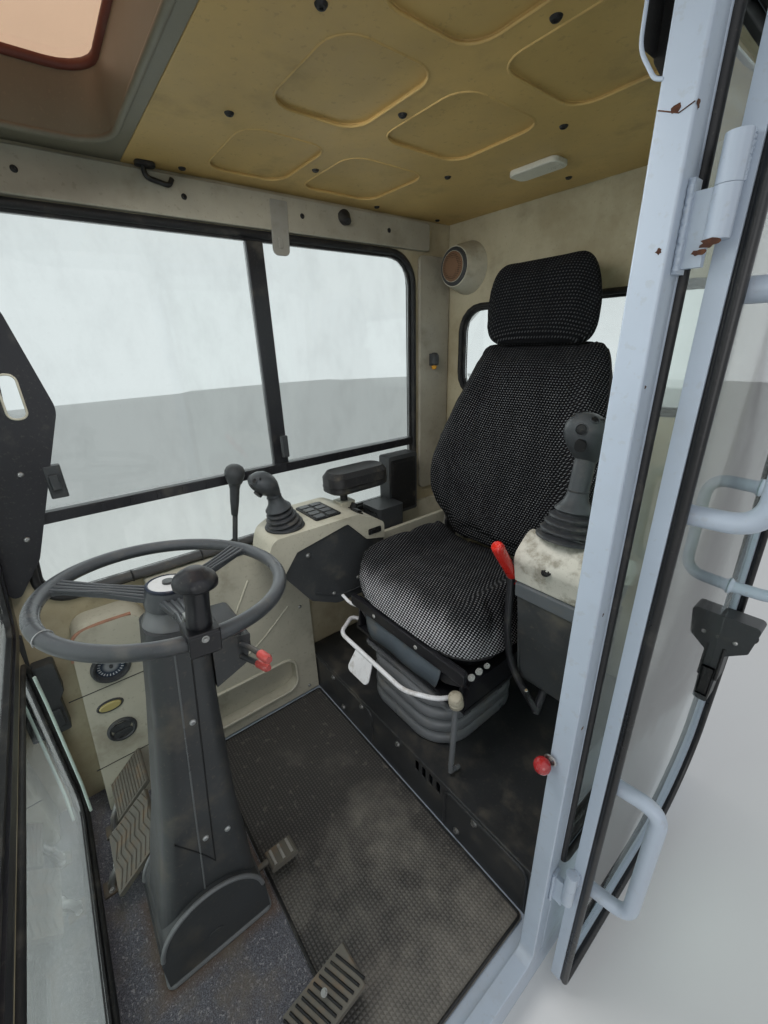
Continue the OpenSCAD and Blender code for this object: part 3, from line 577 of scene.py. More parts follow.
piece("divider_bracket", [plate(pad, -456, -451, "x"), plate(tab, -452, -448.5, "x")],
      grey_steel, "cab", 1.0)
piece("beam_plug", [moved(turned([(0, 26), (9, 24), (14, 12), (19, 2), (20, -4), (14, -10), (0, -14)], 28),
                          (-452, 210, 1552), (1, 0, -0.6))],
      rubber_black, "cab")
piece("beam_screws", [screw((-452, y, 1540), (1, 0, 0), 6) for y in (-500, -210, 80, 370)],
      rubber_black, "cab")

# Windscreen frame and the black parts round the right window: the sliding pane's rail with its
# notched track, its catch, and the grip plate on the front post.
black_enamel = coat("black_enamel", (0.014, 0.014, 0.017), 0.32, bead=2.0, depth=0.00003,
                    dirt=(0.12, 0.11, 0.09), amount=0.3, patch=70.0, chipped=0.05, under=(0.30, 0.29, 0.27))
dress("windscreen_frame right_window_rail grip_plate", black_enamel, 2.0, 3)
dark_plastic = coat("dark_plastic", (0.040, 0.043, 0.046), 0.45, bead=1.1, depth=0.00005,
                    dirt=(0.15, 0.135, 0.105), amount=0.30, patch=70.0, tone=0.8)
catch = [block(-468, -604, 936, -446, -572, 1008, 5), block(-446, -598, 956, -436, -580, 990, 4),
         block(-448, -60, 930, -434, -40, 992, 4)]
piece("pane_catches", catch, dark_plastic, "cab", 2.0, segments=3)
piece("rail_notches", [block(-457.2, y, 884, -454.6, y + 9, 902) for y in range(-520, 440, 60)],
      black_enamel, "cab", 0.5)
lip = [(-628, 1110, 14), (-596, 1110, 14), (-596, 1196, 14), (-628, 1196, 14)]
piece("grip_edge", [hoop(rounded(lip, 6), -446.5, "x", 2.2, 10)], beige_trim, "cab")
piece("grip_screws", [screw((-447, y, z), (1, 0, 0), 6) for y, z in ((-668, 860), (-640, 1000), (-652, 1330))],
      zinc, "cab")

# Panes: toughened glass with a green cast, and a brown one in the roof, held by rubber seals.
# Dust and wiping have hazed them.


def pane(name, tint, clear, haze):
    """Glass that lets shadow and diffuse rays through, with wiped dust that greys it."""
    made, tree, shader = finish(name, tint, 0.02, Transmission_Weight=1.0, IOR=1.45)
    where = place(tree)
    wiped = add(tree, "ShaderNodeMapping", Vector=where)
    wiped.inputs["Rotation"].default_value = (0.5, 0.3, 0.2)
    wiped.inputs["Scale"].default_value = (2.0, 9.0, 5.0)
    film = fade(tree, speckle(tree, wiped.outputs["Vector"], 1.4, 6.0, 0.65), 0.38, 0.80)
    spots = fade(tree, speckle(tree, where, 130.0, 2.0), 0.66, 0.72)
    film = maths(tree, "MAXIMUM", film, maths(tree, "MULTIPLY", spots, 0.6), clamp=True)
    greyed = mixed(tree, maths(tree, "MULTIPLY", film, haze), tint, tuple(c * 0.80 for c in tint))
    skin(tree, shader, greyed, maths(tree, "MULTIPLY_ADD", film, 0.05, 0.012))
    path = add(tree, "ShaderNodeLightPath")
    passed = add(tree, "ShaderNodeBsdfTransparent", Color=(*clear, 1))
    either = maths(tree, "MAXIMUM", path.outputs["Is Shadow Ray"], path.outputs["Is Diffuse Ray"])
    mix = add(tree, "ShaderNodeMixShader")
    join(tree, either, mix.inputs[0])
    tree.links.new(shader.outputs[0], mix.inputs[1])
    tree.links.new(passed.outputs[0], mix.inputs[2])
    tree.links.new(mix.outputs[0], tree.nodes["Material Output"].inputs["Surface"])
    return made


green_glass = pane("green_glass", (0.90, 0.96, 0.93), (0.90, 0.95, 0.93), 0.5)
brown_glass = pane("brown_glass", (0.95, 0.64, 0.43), (0.85, 0.58, 0.42), 0.3)
dress("right_window_glass quarter_glass rear_glass windscreen_glass front_lower_glass",
      green_glass, 0)
dress("skylight_glass", brown_glass, 0)
dress("window_seals", rubber_black, 1.5, 3)

# Inner lips of the seals: the broad rolled rubber edge that is pulled round each opening, and
# the lower pane's edge where it shows, drawn as a pale green strip: a painted highlight of the glass edge.
lean = math.radians(6)


def front_run(z):
    """Where the leaning front of the cab stands at a height."""
    return -770 + max(0, z - 640) * math.tan(lean)


right_opening = rounded([(front_run(690) + 75, 690, 60), (480, 690, 60), (480, 1490, 90),
                         (front_run(1490) + 75, 1490, 60)], 8)
quarter_opening = rounded([(-52, 350, 30), (600, 350, 60), (600, 1500, 80), (-52, 1500, 30)], 8)
rear_opening = rect(-400, 1045, 400, 1335, 80)
lower_opening = rect(-428, 112, 428, 600, 60)
lips = [hoop(right_opening, -468, "x", 9), hoop(quarter_opening, 468, "x", 8),
        hoop(quarter_opening, 501, "x", 6),
        hoop(rear_opening, 644, "y", 8), hoop(lower_opening, -749, "y", 7)]
piece("seal_lips", lips, rubber_black, "cab")
# Pale green strip on the lower pane's edge: painted highlight of the glass edge.
glass_edge_glint = coat("pane_edge", (0.55, 0.66, 0.60), 0.25, bead=1.0, depth=0.00001, amount=0.4, patch=50.0)
strip = [(-380, -738, 128), (-404, -738, 200), (-404, -738, 480), (-395, -738, 560)]
piece("pane_edge_glint_strip", [tube(strip, 3.5, 10)], glass_edge_glint, "cab")

# Windscreen wiper: a black motor housing on the lower rail, with its steel arm and rubber blade
# parked upright against the leaning pane.
leaning = Matrix.Translation((0, -0.770, 0.640)) @ Matrix.Rotation(-lean, 4, "X")
piece("wiper", [tube([(40, -6, 20), (40, -16, 60), (38, -19, 420)], [6, 5, 4], 10),
                plate(rect(34, 180, 42, 700, 3), -22, -10, "y"),
                moved(turned([(0, 14), (13, 14), (17, 8), (17, 0)], 24), (40, 0, 22), (0, -1, 0))],
      rubber_black, "cab", 1.0, frame_of=leaning)

# Roof inside: the pressed liner of grained plastic with its clips and hook, and the skylight's
# frame, whose tinted pane lies on a red-brown seal.
liner_plastic = coat("liner", (0.56, 0.375, 0.135), 0.5, bead=2.0, depth=0.00010, dirt=(0.24, 0.19, 0.10),
                     amount=0.34, patch=150.0, tone=0.84)
dress("roof_liner", liner_plastic, 2.5, 3)
frame_plastic = coat("skylight_frame", (0.19, 0.175, 0.125), 0.42, bead=1.5, depth=0.00005,
                     dirt=(0.30, 0.26, 0.18), amount=0.3, patch=90.0)
dress("skylight_frame", frame_plastic, 3.0, 3)
red_rubber = coat("red_seal", (0.16, 0.045, 0.03), 0.5, bead=1.0, depth=0.00004, amount=0.3, patch=40.0)
piece("skylight_seal", [hoop(rect(-400, -620, 400, -350, 70), 1688, "z", 8)],
      red_rubber, "cab")
piece("skylight_lip", [hoop(rect(-404, -624, 404, -346, 74), 1588, "z", 6)],
      frame_plastic, "cab")
hole_black = coat("black_plastic", (0.010, 0.010, 0.011), 0.5, bead=0.8, amount=0.25)
stud = turned([(0, 2.6), (2.4, 2.6), (2.8, 4.2), (5.5, 3.8), (7.5, 1.4), (8.2, -1)], 20)
clips = [moved(stud, (x, y, 1586), (0, 0, -1))
         for x, y in ((-156, -209), (-433, -210), (135, -209), (400, -209), (-159, 309), (135, 301),
                      (-430, 309), (410, 300), (-290, 30), (0, 30), (280, 30), (-440, 560), (0, 560),
                      (430, 560))]
piece("liner_clips", clips, hole_black, "cab")
piece("liner_panel_edges", [hoop(rect(x0, y0, x1, y1, 45), 1586.8, "z", 2.4, 10)
                            for x0, x1 in ((-405, -180), (-95, 120), (175, 400))
                            for y0, y1 in ((-175, 0), (50, 265))],
      liner_plastic, "cab")
hook = smooth_path([(-440, -285, 1585), (-440, -285, 1560), (-440, -240, 1552), (-440, -232, 1566)], 14)
piece("coat_hook", [tube(hook, 5, 12), block(-452, -300, 1578, -428, -262, 1586, 8)],
      hole_black, "cab", 1.5)
lens_white = coat("lamp_lens", (0.62, 0.60, 0.52), 0.3, bead=3.0, depth=0.0001, amount=0.2)
piece("cab_lamp", [plate(rect(-60, 400, 60, 460, 16), 1574, 1586, "z")],
      lens_white, "cab", 3.0, segments=3)

# Speaker pod on the rear panel: a beige moulding with cloth behind its round ring. Beside it on
# the wall the sun blind's small plastic reel, with an amber lens below.
dress("speaker_pod", beige_trim, 5.0, 4)
brown_cloth, tree, shader = finish("speaker_cloth", (0.045, 0.026, 0.014), 0.9)
where = place(tree)
holes = add(tree, "ShaderNodeTexVoronoi", Vector=where, Scale=190.0, Randomness=0.15)
gap = fade(tree, holes.outputs["Distance"], 0.22, 0.34)
skin(tree, shader, mixed(tree, gap, (0.012, 0.008, 0.006), (0.17, 0.095, 0.055)), None, gap, 0.0008)
grille = turned([(0, 7), (20, 6.5), (36, 4), (43, 0), (43, -4)], 48)
piece("speaker_grille", [moved(grille, (-378, 568, 1450), (0, -1, 0))], brown_cloth, "cab")
ring = turned([(42, 1), (44, 6), (49, 7), (54, 4), (56, -1)], 48)
piece("speaker_ring", [moved(ring, (-378, 575.5, 1450), (0, -1, 0))], dark_plastic, "cab")
amber = coat("amber_lens", (0.62, 0.30, 0.03), 0.2, bead=2.0, depth=0.00003, amount=0.2, Coat_Weight=0.5)
piece("blind_reel", [moved(turned([(0, 24), (9, 22), (15, 14), (17, 2), (17, -16), (12, -20), (0, -20)], 28),
                           (-446, 560, 1170), (0, 0.1, 1)), block(-468.5, 545, 1150, -446, 575, 1190, 4)],
      dark_plastic, "cab", 1.5)
piece("reel_lens", [moved(turned([(0, -34), (7, -32), (10, -24), (10, -18), (0, -18)], 24), (-446, 560, 1170))],
      amber, "cab")

# Floor: a rubber mat of small pyramids in front of the seat, and a blue-grey carpet under the
# pedals. Boots have left brown dirt on both, thickest round the foot of the column.
mat_pyramids = 125.0  # to the metre
mat_rubber, tree, shader = finish("mat_rubber", (0.030, 0.028, 0.028), 0.62)
where = place(tree)
x, y, z = axes(tree, where)
slopes = []
for way in (x, y):
    cell = maths(tree, "SUBTRACT", maths(tree, "FRACT", maths(tree, "MULTIPLY", way, mat_pyramids)), 0.5)
    slopes.append(maths(tree, "MULTIPLY", maths(tree, "ABSOLUTE", cell), 2.0))
pyramid = maths(tree, "MINIMUM", *slopes)
trodden = use(tree, grime, Clean=mixed(tree, pyramid, (0.026, 0.025, 0.025), (0.115, 0.108, 0.100)),
              Dirt=(0.25, 0.23, 0.20), Amount=0.46, Size=300.0)
skin(tree, shader, trodden["Colour"], maths(tree, "MULTIPLY_ADD", trodden["Mask"], 0.3, 0.55), pyramid, 0.0016,
     0.9)
dress("floor_mat", mat_rubber, 1.5, 2)
piece("mat_edge", [hoop(rect(-396, -436, 442, -50, 10), 87.5, "z", 3.0, 10)],
      rubber_black, "cab")

carpet_pile, tree, shader = finish("carpet_pile", (0.11, 0.11, 0.15), 0.95, Sheen_Weight=0.25)
where = place(tree)
tufts = speckle(tree, where, 420.0, 3.0, 0.7)
flecks = speckle(tree, where, 170.0, 2.0, 0.7)
wool = mixed(tree, fade(tree, tufts, 0.35, 0.68), (0.052, 0.052, 0.064), (0.18, 0.18, 0.205))
wool = mixed(tree, fade(tree, flecks, 0.60, 0.66), wool, (0.30, 0.29, 0.30))
x, y, z = axes(tree, where)
beside_foot = maths(tree, "SUBTRACT", maths(tree, "ABSOLUTE", x), 0.085)
before_foot = maths(tree, "SUBTRACT", maths(tree, "ABSOLUTE", maths(tree, "ADD", y, 0.56)), 0.102)
round_foot = maths(tree, "MULTIPLY_ADD", flecks, 0.02, maths(tree, "MAXIMUM", beside_foot, before_foot))
worn = maths(tree, "MULTIPLY", fade(tree, round_foot, 0.045, 0.008), 0.7)
wool = mixed(tree, worn, wool, (0.15, 0.085, 0.045))
trodden = use(tree, grime, Clean=wool, Dirt=(0.16, 0.13, 0.10), Amount=0.5, Size=100.0)
skin(tree, shader, trodden["Colour"], maths(tree, "MULTIPLY_ADD", tufts, 0.08, 0.9), tufts, 0.0025, 0.9)
dress("front_carpet", carpet_pile, 2.0, 2)

# Pod beside the windscreen: a beige moulding that carries the round gauge, a warning lens and
# an air vent, with a strut and the latch of the lower pane in front of it.
dress("dash_panel", beige_trim, 6.0, 4)
dress("right_side_trim", beige_trim, 6.0, 4)
dash_face = -379.4
gauge = (dash_face, -600, 520)
bezel = turned([(31, -4), (31, 3), (33, 8), (38, 9), (42, 5), (43, -1)], 56)
pin = turned([(0, -3), (4, -3), (4, 2), (3, 3), (0, 3.4)], 24)
piece("gauge_ring", [moved(bezel, gauge, (1, 0, 0)), moved(pin, gauge, (1, 0, 0))],
      dark_plastic, "cab", crisp=50)
dial_face, tree, shader = finish("dial_face", (0.05, 0.07, 0.10), 0.35)
x, y, z = axes(tree, place(tree))
y, z = maths(tree, "ADD", y, 0.600), maths(tree, "SUBTRACT", z, 0.520)
radius = maths(tree, "SQRT", maths(tree, "ADD", maths(tree, "MULTIPLY", y, y), maths(tree, "MULTIPLY", z, z)))
turn = maths(tree, "ARCTAN2", z, y)
ticks = maths(tree, "GREATER_THAN", maths(tree, "COSINE", maths(tree, "MULTIPLY", turn, 24.0)), 0.72)
band = maths(tree, "MULTIPLY", maths(tree, "GREATER_THAN", radius, 0.022),
             maths(tree, "LESS_THAN", radius, 0.028))
shown = maths(tree, "MULTIPLY", ticks, band)
face = mixed(tree, fade(tree, radius, 0.010, 0.020), (0.30, 0.31, 0.32), (0.035, 0.05, 0.075))
skin(tree, shader, mixed(tree, shown, face, (0.75, 0.76, 0.76)), maths(tree, "MULTIPLY_ADD", band, 0.1, 0.25))
piece("gauge_face", [moved(turned([(0, 0), (31.5, 0), (31.5, -3)], 48), (-383, -600, 520), (1, 0, 0)),
                     plate([(-601.2, 520), (-598.8, 520), (-588, 541), (-589.4, 542)], -382.6, -381.8, "x")],
      dial_face, "cab")
yellow_lens = coat("yellow_lens", (0.42, 0.35, 0.14), 0.2, bead=2.0, depth=0.00004, amount=0.25,
                   Coat_Weight=0.5)
piece("warning_lens", [plate(oval(-627, 414, 24, 12, 28), -379.5, -373, "x")],
      yellow_lens, "cab", 3.0, segments=3)
vents = [moved(turned([(24, -1), (24, 4), (28, 7), (33, 5), (34, -1)], 44), (dash_face, -620, 330), (1, 0, 0)),
         plate(rect(-642, 331, -598, 350, 8), -378.5, -374.5, "x"),
         plate(rect(-642, 310, -598, 329, 8), -378.5, -374.5, "x"),
         hoop(oval(-627, 414, 27, 15, 28), -378.6, "x", 2.6, 10)]
piece("dash_vent", vents, dark_plastic, "cab", 1.0)
brown_strip = coat("brown_strip", (0.33, 0.17, 0.11), 0.5, bead=1.5, dirt=(0.12, 0.09, 0.07), amount=0.4,
                   patch=40.0)
strip = standing([(-664, 566), (-652, 634), (-600, 642), (-530, 640)], -384)
piece("dash_strip", [tube(smooth_path(strip, 40), 4.5, 12)],
      brown_strip, "cab")
piece("dash_seam", [tube([(-379.2, -698, 470), (-379.2, -488, 470)], 1.3, 8),
                    tube([(-379.2, -698, 240), (-379.2, -500, 240)], 1.3, 8)],
      hole_black, "cab")
housing = rounded([(-748, 356, 6), (-716, 356, 6), (-716, 450, 4), (-704, 470, 6), (-704, 555, 8),
                   (-748, 555, 6)])
strut = [tube([(-446, -744, 644), (-446, -752, 560), (-446, -752, 520)], 7, 14),
         tube([(-446, -752, 560), (-446, -752, 470)], 9.5, 16),
         plate(housing, wall_face, -434, "x"),
         plate(rect(-744, 380, -722, 430, 4), -434, -426, "x")]
piece("lower_pane_strut", strut, dark_plastic, "cab", 2.0, segments=3)

# Rolled-up sheet of grey vinyl that lies on the sill under the window, held by three rubber
# straps.
roll_vinyl = coat("grey_vinyl", (0.060, 0.060, 0.062), 0.42, bead=3.0, depth=0.00012, dirt=(0.15, 0.13, 0.10),
                  amount=0.35, patch=45.0)
lay = [(-453, y, 703 + 1.2 * math.sin(y / 31.0)) for y in range(-590, -110, 12)]
piece("sill_roll", [tube(lay, [12.5 + 0.7 * math.sin(k * 1.9) for k in range(len(lay))], 18)],
      roll_vinyl, "cab", crisp=60)
piece("roll_straps", [hoop(oval(-453, 703, 14, 14, 20), y, "y", 2.0, 8) for y in (-500, -330, -170)],
      rubber_black, "cab")

# Side trim below the window: a beige moulding with an open pocket and two pressed folds, held
# to the frame by four screws.
piece("trim_pocket_rim", [hoop(rect(-440, 130, -120, 260, 40), -407.5, "x", 5)],
      beige_trim, "cab")
piece("trim_folds", [tube(smooth_path(standing(line, -409.6), 60), radius, 10)
                     for line, radius in (([(-470, 330), (-330, 420), (-230, 600)], 3.5),
                                          ([(-420, 300), (-240, 360), (-120, 460)], 3.0))],
      beige_trim, "cab")
piece("trim_screws", [screw((-409, y, z), (1, 0, 0), 6)
                      for y, z in ((-450, 110), (-80, 110), (-80, 440), (-450, 640))],
      zinc, "cab")

# Right console: a beige cover over a dark plastic box, with a blank key panel, switches and the
# screw that holds the side plate. The tray behind it is part of the rear trim.
dress("right_console", beige_trim, 7.0, 4)
dress("right_rear_tray", beige_trim, 4.0, 3)
dress("right_console_side", dark_plastic, 3.0, 3)
piece("key_panel", [plate(rect(-428, -48, -298, 38, 8), 767.8, 772.5, "z")],
      hole_black, "cab", 1.5)
key_grey = coat("key_caps", (0.075, 0.08, 0.085), 0.4, bead=1.0, amount=0.2)
piece("keys", [plate(rect(x, y, x + 24, y + 30, 4), 772, 775.5, "z")
               for x in (-422, -391, -360, -329) for y in (-42, -3)], key_grey, "cab", 1.2)
slope = (0, 0.46, 0.89)
switches = [moved(plate(rect(-19, -12, 19, 12, 3), -4, 3, "z"), (-312, 100, 753.5), slope),
            moved(plate(rect(-15, -9, 15, 9, 2), 2, 8, "z"), (-312, 100, 753.5), (0, 0.30, 0.95)),
            moved(turned([(0, 20), (9, 20), (11, 18), (12, 2), (17, 1), (18, -4)], 30), (-362, 120, 743),
                  slope),
            plate(rect(104, 690, 152, 709, 4), -262.6, -259, "x"),
            plate(rect(112, 694, 130, 705, 2), -259.5, -256, "x")]
piece("console_switches", switches, hole_black, "cab", 1.0)
piece("console_screws", [screw((-266, -101, 692), (1, 0, 0), 7), screw((-266, 60, 560), (1, 0, 0), 7),
                         screw((-266, -30, 540), (1, 0, 0), 6)],
      zinc, "cab")
piece("tray_box", [block(-446, 214, 560.4, -346, 322, 716, 12), block(-432, 210, 640, -360, 215, 700, 4)],
      dark_plastic, "cab", 3.0, segments=3)
fold = standing([(-90, 566), (-14, 524), (120, 524), (150, 600), (150, 650)], -265.6)
piece("side_plate_fold", [tube(smooth_path(fold, 40), 2.2, 10)], dark_plastic, "cab")

# Armrest: skinned foam on a steel stalk. Beside it stand the shift lever, with its moulded knob
# and rubber boot, and the monitor's plastic box.
vinyl = coat("armrest_skin", (0.022, 0.022, 0.024), 0.5, bead=2.2, depth=0.00012, amount=0.35, patch=60.0)
dress("armrest", vinyl, 6.0, 4)
piece("armrest_seam", [hoop(rect(-445.3, 49.7, -344.7, 268.3, 40), 821, "z", 1.5, 8)],
      hole_black, "cab")
dress("shift_lever monitor_box", dark_plastic, 2.0, 3)
lever_way = Vector((18, 25, 190)).normalized()
knob = turned([(0, 44), (12, 43), (21, 37), (26, 27), (26, 14), (22, 2), (16, -10), (13, -24), (12, -60),
               (9, -100), (7, -102)], 36)
piece("shift_knob", [moved(knob, (-419, -216, 900), lever_way)], dark_plastic, "cab", crisp=60)
boot = turned([(30, 0), (31, 4), (24, 8), (26, 12), (19, 16), (21, 20), (14, 24), (15, 28), (10, 33), (8, 40)],
              32)
piece("shift_boot", [moved(boot, (-436, -240, 686.5))], rubber_black, "cab", crisp=70)
piece("monitor_face", [plate(rect(318, 662, 432, 852, 8), -410.5, -407.5, "x"),
                       plate(rect(326, 720, 424, 840, 4), -408.5, -406.6, "x")],
      hole_black, "cab", 1.0)

# Joysticks: moulded grips with small buttons, on a neck that comes out of a rubber bellows. Both
# are tilted towards the front, and the left one has a longer neck.
grip_plastic = coat("grip_plastic", (0.050, 0.055, 0.060), 0.34, bead=1.6, depth=0.00005,
                    dirt=(0.14, 0.12, 0.10), amount=0.28, patch=40.0, tone=0.75)
bellows_black = coat("bellows_rubber", (0.030, 0.032, 0.036), 0.42, bead=1.2, depth=0.00004,
                     dirt=(0.13, 0.12, 0.10), amount=0.38, patch=35.0)


def joystick(side, unit, tilt, shaft, body, size=1.0, head_size=1.0):
    """A control stick on its unit, leaning by a tilt in degrees, its head at the end of a shaft."""
    top = 58
    lie = Matrix.Rotation(math.radians(tilt), 3, "X")
    folds = []
    for i in range(4):
        low, wide = 3 + 13.5 * i, (52 - 5 * i) * size
        folds += [(wide - 2, low), (wide, low + 1), (wide, low + 3.5), (wide - 3, low + 6),
                  (wide - 11, low + 9), (wide - 11, low + 12.5)]
    boot = moved(turned([(0, 3)] + folds + [(34, top + 1), (0, top + 1)], 56), (0, 0, 0), lie)
    rim = turned([(0, 0.3), (52, 0.3), (54, 2), (54, 5), (51, 7.5), (0, 7.5)], 56)
    boot_piece = piece(side + "_stick_boot", [boot, rim], bellows_black, body,
                       frame_of=unit, crisp=62)
    neck = moved(turned([(32, top - 1), (35, top + 1), (34.5, top + 4), (29, top + 10), (23, top + 18),
                         (20, top + 27), (18.5, top + 38), (18, top + shaft), (0, top + shaft)], 40),
                 (0, 0, 0), lie)
    egg = [(0.0, -18), (11, -16), (17, -8), (23, 4), (29, 16), (33, 30), (33.5, 44), (30, 57), (22, 67),
           (11, 73), (0, 75)]
    verts, faces = turned(egg, 44)
    bent = []
    for v in verts:
        lift = max(0.0, v.z) / 75
        thumb = math.exp(-((v.x - 6) ** 2 + (v.z - 58) ** 2) / 260) * 5 * (v.y < 0)
        bent.append(Vector((v.x * (1.06 - 0.10 * lift), v.y * 0.92 - 12 * lift * lift + 3 + thumb,
                            v.z)) * head_size)
    nod = Matrix.Rotation(math.radians(24), 3, "X")
    head = moved((bent, faces), lie @ Vector((0, 0, top + shaft - 8)), lie @ nod)
    grip = piece(side + "_grip", [neck, head], grip_plastic, body, frame_of=unit, crisp=50)
    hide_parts(side + "_joystick")
    surface = BVHTree.FromPolygons(*head)
    middle = sum(head[0], Vector()) / len(head[0])
    small, dark = [], []
    for way, size in (((0.45, -0.80, 0.55), 5.5), ((-0.35, -0.85, 0.60), 5.0), ((0.15, -0.98, 0.12), 8.5),
                      ((0.75, -0.60, 0.80), 3.0)):
        way = Vector(way).normalized()
        spot, face_way, _, _ = surface.ray_cast(middle + way * 120, -way)
        if face_way.dot(way) < 0:
            face_way = -face_way
        ring = moved(turned([(size + 2.2, -1.5), (size + 2.0, 0.8), (size + 0.8, 1.3), (size + 0.2, 0)], 24),
                     spot, face_way)
        button = moved(turned([(0, 1.8), (size * 0.8, 1.5), (size, 0.2), (size, -2)], 24), spot, face_way)
        small.append(ring)
        dark.append(button)
    low_way = Vector((0.25, -0.95, -0.45)).normalized()
    spot, face_way, _, _ = surface.ray_cast(middle + low_way * 120, -low_way)
    dark.append(moved(plate(rect(-9, -16, 9, 6, 7), -3, 5, "z"), spot,
                      -face_way if face_way.dot(low_way) < 0 else face_way))
    piece(side + "_grip_buttons", dark, hole_black, body, frame_of=unit, crisp=40)
    piece(side + "_grip_rings", small, grip_plastic, body, frame_of=unit, crisp=40)
    seam = [lie @ p for p in standing(oval(0, 0, 18.6, 18.6, 28), top + 38, "z")]
    piece(side + "_grip_collar", [tube(seam, 1.6, 8, closed=True)], bellows_black, body,
          frame_of=unit)
    return boot_piece


joystick("right", Matrix.Translation((-0.328, -0.130, 0.7683)), 12, 58, "cab")

# Steering column: a domed foot on the carpet, and a split cover that leans with the column
# on its tilt axis. Dark grey mouldings joined by screws along the seam, whose pale line is a painted highlight.
column = Matrix.Translation((0, -0.560, 0.165)) @ Matrix.Rotation(-math.radians(6.1), 4, "X")
cover_plastic = coat("cover_plastic", (0.050, 0.053, 0.056), 0.42, bead=1.3, depth=0.00006,
                     dirt=(0.17, 0.145, 0.11), amount=0.36, patch=110.0, tone=0.74)
dress("column_foot", cover_plastic, 5.0, 4)
dress("column_cover column_switch_box", cover_plastic, 2.0, 3)


def cover_side(z):
    """Half width of the column's cover at a height along it."""
    spots = ((38, 72), (150, 68), (270, 60), (500, 52), (656, 46))
    for (z0, w0), (z1, w1) in zip(spots, spots[1:]):
        if z <= z1:
            return w0 + (w1 - w0) * (z - z0) / (z1 - z0)
    return spots[-1][1]


def on_cover(line, side):
    """A line of (y, z) points laid on one side of the column's cover."""
    return [Vector((side * cover_side(z), y, z)) for y, z in line]


joint_line = [(-12, z) for z in range(90, 640, 22)]
rear_line = [(12, z) for z in range(150, 640, 20)]
curve_line = [(-52, 241), (-40, 226), (-24, 205), (-6, 180), (6, 160), (12, 150)]
grey_trim_and_sheen = coat("grey_trim_and_sheen", (0.16, 0.165, 0.17), 0.3, bead=1.2, amount=0.3, patch=40.0)
# Grey beads along the cover's joint: painted highlight where the two halves meet.
piece("cover_joint_sheen", [tube(on_cover(joint_line, side), 1.5, 8) for side in (-1, 1)],
      grey_trim_and_sheen, "column", frame_of=column)
piece("cover_seams", [tube(on_cover(line, side), 1.4, 8) for side in (-1, 1)
                      for line in (rear_line, curve_line)],
      hole_black, "column", frame_of=column)
pale_screw = coat("pale_screw", (0.52, 0.53, 0.53), 0.35, bead=1.0, amount=0.4, patch=15.0, Metallic=0.6)
piece("cover_screws", [screw((side * (cover_side(z) + 0.6), y, z), (side, 0, 0.05), 5.5)
                       for side in (-1, 1) for y, z in ((2, 480), (0, 217), (40, 208))],
      pale_screw, "column", frame_of=column)
# Grey beads along the dome's top edges are a painted highlight of its glossy rim; one more grey bead runs round
# its base.
arc = [(-560 + 98 * math.cos(a), 165 + 98 * math.sin(a)) for a in (math.radians(6 + 6 * k) for k in range(29))]
piece("foot_sheen_beads", [tube(standing(arc, x), 4.5, 12) for x in (-83, 83)]
      + [hoop(rect(-85.5, -662.5, 85.5, -457.5, 10), 90, "z", 5, 10)],
      grey_trim_and_sheen, "cab")
piece("foot_badge", [plate(oval(-567, 146, 15, 8, 24), 84.8, 86.6, "x")], cover_plastic, "cab",
      0.7)
stalk = [(30, 96, 585), (70, 104, 596), (104, 106, 604)]
red_tip = coat("red_tip", (0.55, 0.09, 0.08), 0.3, bead=1.5, amount=0.2, Coat_Weight=0.3)
arm = rounded([(49, 606, 2), (96, 602, 10), (106, 612, 8), (100, 640, 12), (49, 640, 4)])
switch_face = rounded([(108, 548, 6), (117, 560, 4), (119, 596, 4), (110, 600, 4)])
piece("switch_pod", [plate(arm, -33, 33, "x"), plate(switch_face, -26, 26, "x")],
      cover_plastic, "column", 4.0, frame_of=column, segments=3)
collar = [(46, 655), (45, 660), (40, 672), (34, 684), (32, 694), (26, 695)]
piece("column_collar", [turned(collar, 48)], grey_trim_and_sheen, "column", frame_of=column, crisp=50)
piece("column_stalks", [tube(smooth_path(stalk, 12), 5, 12),
                        tube(smooth_path([(30, 96, 560), (78, 112, 566)], 12), 5, 12)],
      cover_plastic, "column", frame_of=column)
piece("stalk_tips", [tube([(100, 106, 603), (104, 106.2, 604), (128, 107.5, 609), (134, 108, 610)],
                          [5, 8, 8, 5.5], 16),
                     tube([(74, 110.7, 565.5), (78, 112, 566), (100, 118, 569), (105, 119, 570)],
                          [5, 7.5, 7.5, 5], 16)],
      red_tip, "column", frame_of=column)

# Steering wheel: a moulded rim on three ribbed spokes, a blank hub cap, and a spinner knob
# clamped to the rim with a plated bracket.
wheel = column @ Matrix.Translation((0, 0, 0.716))
wheel_plastic = coat("wheel_plastic", (0.062, 0.067, 0.073), 0.30, bead=1.5, depth=0.00005,
                     dirt=(0.15, 0.14, 0.12), amount=0.30, patch=45.0, tone=0.7,
                     Coat_Weight=0.15, Coat_Roughness=0.3)
rim_radius = 174
rim = piece("wheel_rim", [hoop(oval(0, 0, rim_radius, rim_radius, 112), 0, "z", 11.2, 22)], wheel_plastic,
            "wheel", frame_of=wheel)
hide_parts("steering_wheel")
spokes = []
for turn in (0, 120, 240):
    about = Matrix.Rotation(math.radians(turn), 3, "Z")
    dished = Matrix.Rotation(math.radians(-6.5), 3, "Y")
    body_plan = [Vector(p) for p in ((26, -22), (90, -13), (150, -13), (169, -22), (169, 22), (150, 13),
                                     (90, 13), (26, 22))]
    spokes.append(moved(plate(body_plan, -5, 4, "z"), (0, 0, -18), about @ dished))
    for y0, y1 in ((-15, -10), (-5, -3.5), (5, 3.5), (15, 10)):
        spokes.append(moved(tube([(28, y0, 5), (95, y1, 4.6), (166, y0, 4.0)], 2.6, 10), (0, 0, -18),
                            about @ dished))
hub = [(0, -34), (33, -34), (38, -31), (39, -22), (36, -8), (34.5, -1), (33, 1.5), (0, 2)]
